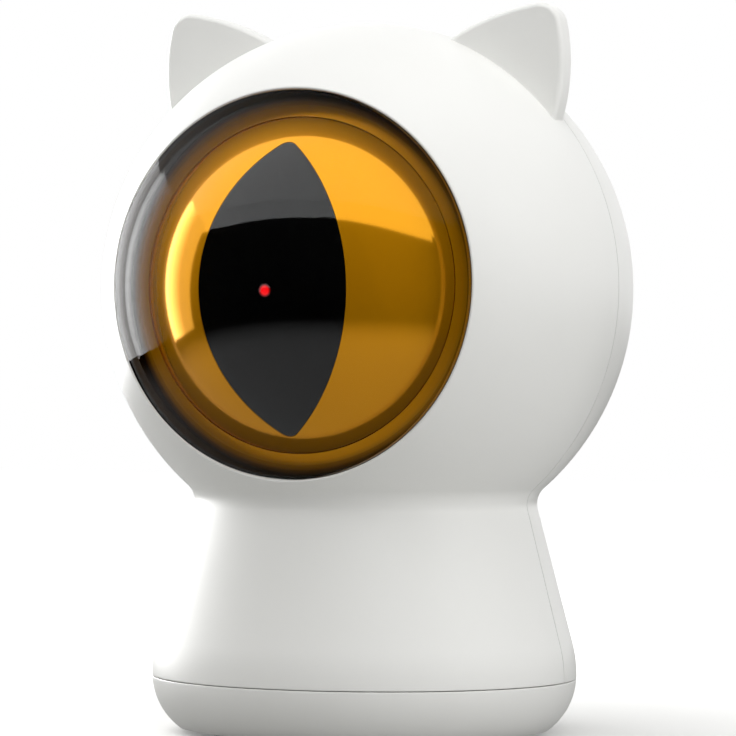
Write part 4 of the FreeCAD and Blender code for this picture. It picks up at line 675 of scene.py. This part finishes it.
# red laser light on the smoked window: a lit middle that fades towards the edge
spotGlow = bpy.data.materials.new("laserGlow")
spotGlow.use_nodes = True
glowTree = spotGlow.node_tree
glowTree.nodes.clear()
glowPlace = addNode(glowTree, "ShaderNodeTexCoord").outputs["Object"]
glowFlat = addNode(glowTree, "ShaderNodeMapping", {"Location": (0, 0, -spotZ * mm), "Scale": (1, 0, 1)},
                   {"Vector": glowPlace})
glowOut = addNode(glowTree, "ShaderNodeVectorMath", {"operation": "LENGTH"}, {0: glowFlat.outputs[0]})
glowShare = addNode(glowTree, "ShaderNodeMapRange", {"From Max": spot["radius"] * mm},
                    {"Value": glowOut.outputs["Value"]})
glowTone = ramp(glowTree, glowShare.outputs[0], (
    (0.0, colour("ff1a22")), (0.6, colour("f00c12")), (0.8, colour("700408")), (1.0, colour("050000"))))
glowShader = addNode(glowTree, "ShaderNodeBsdfPrincipled", {
    "Base Color": colour("050000"), "Roughness": 0.2, "Emission Strength": 1.0}, {"Emission Color": glowTone})
addNode(glowTree, "ShaderNodeOutputMaterial", links={"Surface": glowShader.outputs[0]})
laserSpot.data.materials.append(spotGlow)
laserSpot.data.shade_smooth()
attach(laserSpot, "tilt_cradle")

for entry in frame["record"]["subparts"]:
    for materialSlot in frame["nodes"][entry["node"]].material_slots:
        materialSlot.material = looks[entry["material_slot"]]

# seen and mirrored: the floor's own light for the camera and for reflections, as (radius, level) near and far
stage = dict(half=1500, floorShade="f2f2f0", bounceShade="b2b2b0", seen=((45, 0.2), (240, 1.0)),
             mirrored=((120, 0.38), (232, 0.0)), worldLight=0.03, worldMirrored=1.22)


def plainMaterial(name):
    material = bpy.data.materials.new(name)
    material.use_nodes = True
    material.node_tree.nodes.clear()
    return material, material.node_tree


floorInk, floorTree = plainMaterial("paleFloor")
floorPath = addNode(floorTree, "ShaderNodeLightPath")
floorPlace = addNode(floorTree, "ShaderNodeTexCoord").outputs["Object"]
floorOut = addNode(floorTree, "ShaderNodeVectorMath", {"operation": "LENGTH"}, {0: floorPlace})


def fadeOut(levels):
    # light from the floor that changes between two distances from the object
    (near, nearLevel), (far, farLevel) = levels
    level = addNode(floorTree, "ShaderNodeMapRange", {
        "From Min": near * mm, "From Max": far * mm, "To Min": nearLevel, "To Max": farLevel,
        "interpolation_type": "SMOOTHSTEP"}, {"Value": floorOut.outputs["Value"]})
    return addNode(floorTree, "ShaderNodeEmission", links={"Strength": level.outputs[0]}).outputs[0]


floorPaint = addNode(floorTree, "ShaderNodeBsdfDiffuse", {"Color": colour(stage["floorShade"])})
floorBright = addNode(floorTree, "ShaderNodeAddShader", links={
    0: floorPaint.outputs[0], 1: fadeOut(stage["seen"])})
floorBounce = addNode(floorTree, "ShaderNodeBsdfDiffuse", {"Color": colour(stage["bounceShade"])})
floorMirrored = addNode(floorTree, "ShaderNodeMath", {"operation": "MAXIMUM"},
                        {0: floorPath.outputs["Is Glossy Ray"], 1: floorPath.outputs["Is Transmission Ray"]})
floorUnseen = addNode(floorTree, "ShaderNodeMixShader", links={
    0: floorMirrored.outputs[0], 1: floorBounce.outputs[0], 2: fadeOut(stage["mirrored"])})
floorMix = addNode(floorTree, "ShaderNodeMixShader", links={
    0: floorPath.outputs["Is Camera Ray"], 1: floorUnseen.outputs[0], 2: floorBright.outputs[0]})
addNode(floorTree, "ShaderNodeOutputMaterial", links={"Surface": floorMix.outputs[0]})
floorMesh = bmesh.new()
bmesh.ops.create_grid(floorMesh, x_segments=1, y_segments=1, size=stage["half"])
floor = makeObject("floor", floorMesh)
floor.data.materials.append(floorInk)

world = bpy.data.worlds.new("studio")
world.use_nodes = True
worldTree = world.node_tree
worldTree.nodes.clear()
worldPath = addNode(worldTree, "ShaderNodeLightPath")
mirrored = addNode(worldTree, "ShaderNodeMath", {"operation": "MAXIMUM"},
                   {0: worldPath.outputs["Is Glossy Ray"], 1: worldPath.outputs["Is Transmission Ray"]})
mirrorLevel = addNode(worldTree, "ShaderNodeMapRange", {
    "To Min": stage["worldLight"], "To Max": stage["worldMirrored"]}, {"Value": mirrored.outputs[0]})
worldLevel = addNode(worldTree, "ShaderNodeMapRange", {"To Max": 1.0}, {
    "Value": worldPath.outputs["Is Camera Ray"], "To Min": mirrorLevel.outputs[0]})
worldBack = addNode(worldTree, "ShaderNodeBackground", {"Color": grey(1)},
                    {"Strength": worldLevel.outputs[0]})
addNode(worldTree, "ShaderNodeOutputWorld", links={"Surface": worldBack.outputs[0]})
bpy.context.scene.world = world

# dark curtain that only reflections and clear pieces show: it gives the gold its dark band
curtain = dict(front=400, side=865, shift=-45, foot=1, top=350, reach=104, turn=10, shade=0.002)
curtainMesh = bmesh.new()
drawChain(curtainMesh, (1, curtain["foot"]), [(1, curtain["top"])])
bmesh.ops.rotate(curtainMesh, cent=(0, 0, 0), verts=curtainMesh.verts[:],
                 matrix=Matrix.Rotation(math.radians(curtain["turn"] - 90 - curtain["reach"]), 3, "Z"))
bmesh.ops.spin(curtainMesh, geom=curtainMesh.verts[:] + curtainMesh.edges[:], cent=(0, 0, 0), axis=(0, 0, 1),
               angle=math.radians(2 * curtain["reach"]), steps=48)
bmesh.ops.scale(curtainMesh, vec=(curtain["side"], curtain["front"], 1), verts=curtainMesh.verts[:])
bmesh.ops.translate(curtainMesh, vec=(curtain["shift"], 0, 0), verts=curtainMesh.verts[:])
drape = makeObject("curtain", curtainMesh, outward=False)
drapeInk, drapeTree = plainMaterial("blackCurtain")
drapeCloth = addNode(drapeTree, "ShaderNodeBsdfDiffuse", {"Color": grey(curtain["shade"])})
addNode(drapeTree, "ShaderNodeOutputMaterial", links={"Surface": drapeCloth.outputs[0]})
drape.data.materials.append(drapeInk)
drape.visible_camera = drape.visible_diffuse = drape.visible_shadow = False

# bright card at the left that only reflections and clear pieces show, fading towards its front edge
card = dict(x=-245, front=-80, rear=230, low=2, high=183, tilt=5, frontLevel=1.0, rearLevel=9.0,
            fadeFront=-45, fadeRear=75)
cardMesh = bmesh.new()
cardFace = bmesh.ops.create_grid(cardMesh, x_segments=1, y_segments=1, size=0.5)["verts"]
bmesh.ops.rotate(cardMesh, cent=(0, 0, 0), matrix=Matrix.Rotation(math.radians(90), 3, "Y"), verts=cardFace)
bmesh.ops.scale(cardMesh, vec=(1, card["rear"] - card["front"], card["high"] - card["low"]), verts=cardFace)
bmesh.ops.translate(cardMesh, verts=cardFace,
                    vec=(card["x"], (card["rear"] + card["front"]) / 2, (card["high"] + card["low"]) / 2))
bmesh.ops.rotate(cardMesh, cent=(0, 0, 0), matrix=Matrix.Rotation(math.radians(card["tilt"]), 3, "X"),
                 verts=cardFace)
leftCard = makeObject("leftCard", cardMesh, outward=False)
cardInk, cardTree = plainMaterial("litCard")
cardPlace = addNode(cardTree, "ShaderNodeSeparateXYZ",
                    links={0: addNode(cardTree, "ShaderNodeTexCoord").outputs["Object"]})
cardLevel = addNode(cardTree, "ShaderNodeMapRange", {
    "From Min": card["fadeFront"] * mm, "From Max": card["fadeRear"] * mm, "To Min": card["frontLevel"],
    "To Max": card["rearLevel"]}, {"Value": cardPlace.outputs["Y"]})
cardGlow = addNode(cardTree, "ShaderNodeEmission", links={"Strength": cardLevel.outputs[0]})
addNode(cardTree, "ShaderNodeOutputMaterial", links={"Surface": cardGlow.outputs[0]})
leftCard.data.materials.append(cardInk)
leftCard.visible_camera = leftCard.visible_diffuse = leftCard.visible_shadow = False


def addLamp(name, place, aim, width, height, watts):
    data = bpy.data.lights.new(name, "AREA")
    data.shape = "RECTANGLE"
    data.size = width * mm
    data.size_y = height * mm
    data.energy = watts
    lamp = bpy.data.objects.new(name, data)
    lamp.location = Vector(place) * mm
    lamp.rotation_euler = ((Vector(aim) - Vector(place)) * mm).to_track_quat("-Z", "Y").to_euler()
    bpy.context.scene.collection.objects.link(lamp)
    return lamp


# the softboxes aren't mirrored in anything: the card, the strip and the world make the reflections
# place and aim, then width and height, in millimetres, and watts
softboxes = dict(
    overheadSoftbox=((-60, -170, 620), (0, 0, 60), 700, 700, 3.3),
    rightSoftbox=((520, -40, 200), (0, 0, 65), 400, 400, 1.35),
    frontSoftbox=((380, -560, 300), (0, 0, 60), 300, 300, 0.95),
    leftSoftbox=((-290, 0, 150), (0, 0, 75), 300, 185, 0.5),
    rearSoftbox=((-300, 220, 150), (0, 0, 75), 300, 250, 0.4))
for name, values in softboxes.items():
    softbox = addLamp(name, *values)
    softbox.visible_glossy = softbox.visible_transmission = False
strip = dict(place=(250, -52, 85), aim=(0, -20, 75), width=36, height=170, watts=0.012)
addLamp("rightStrip", **strip)

# place and nearest in metres, lens and sensor in millimetres
camera = dict(place=(0.22994, -0.52589, 0.05057), ahead=(-0.4006, 0.9162, 0.00506), roll=0.009, lens=190.85,
              sensor=36, shiftX=0.00127, nearest=0.01)
cameraData = bpy.data.cameras.new("camera")
cameraData.lens = camera["lens"]
cameraData.sensor_width = camera["sensor"]
cameraData.shift_x = camera["shiftX"]
cameraData.clip_start = camera["nearest"]
viewer = bpy.data.objects.new("camera", cameraData)
viewer.location = camera["place"]
viewer.rotation_mode = "QUATERNION"
viewer.rotation_quaternion = (Vector(camera["ahead"]).to_track_quat("-Z", "Y")
                              @ Quaternion((0, 0, 1), camera["roll"]))
bpy.context.scene.collection.objects.link(viewer)
bpy.context.scene.camera = viewer
bpy.context.scene.view_settings.view_transform = "Standard"
print("stage, lamps and camera set")
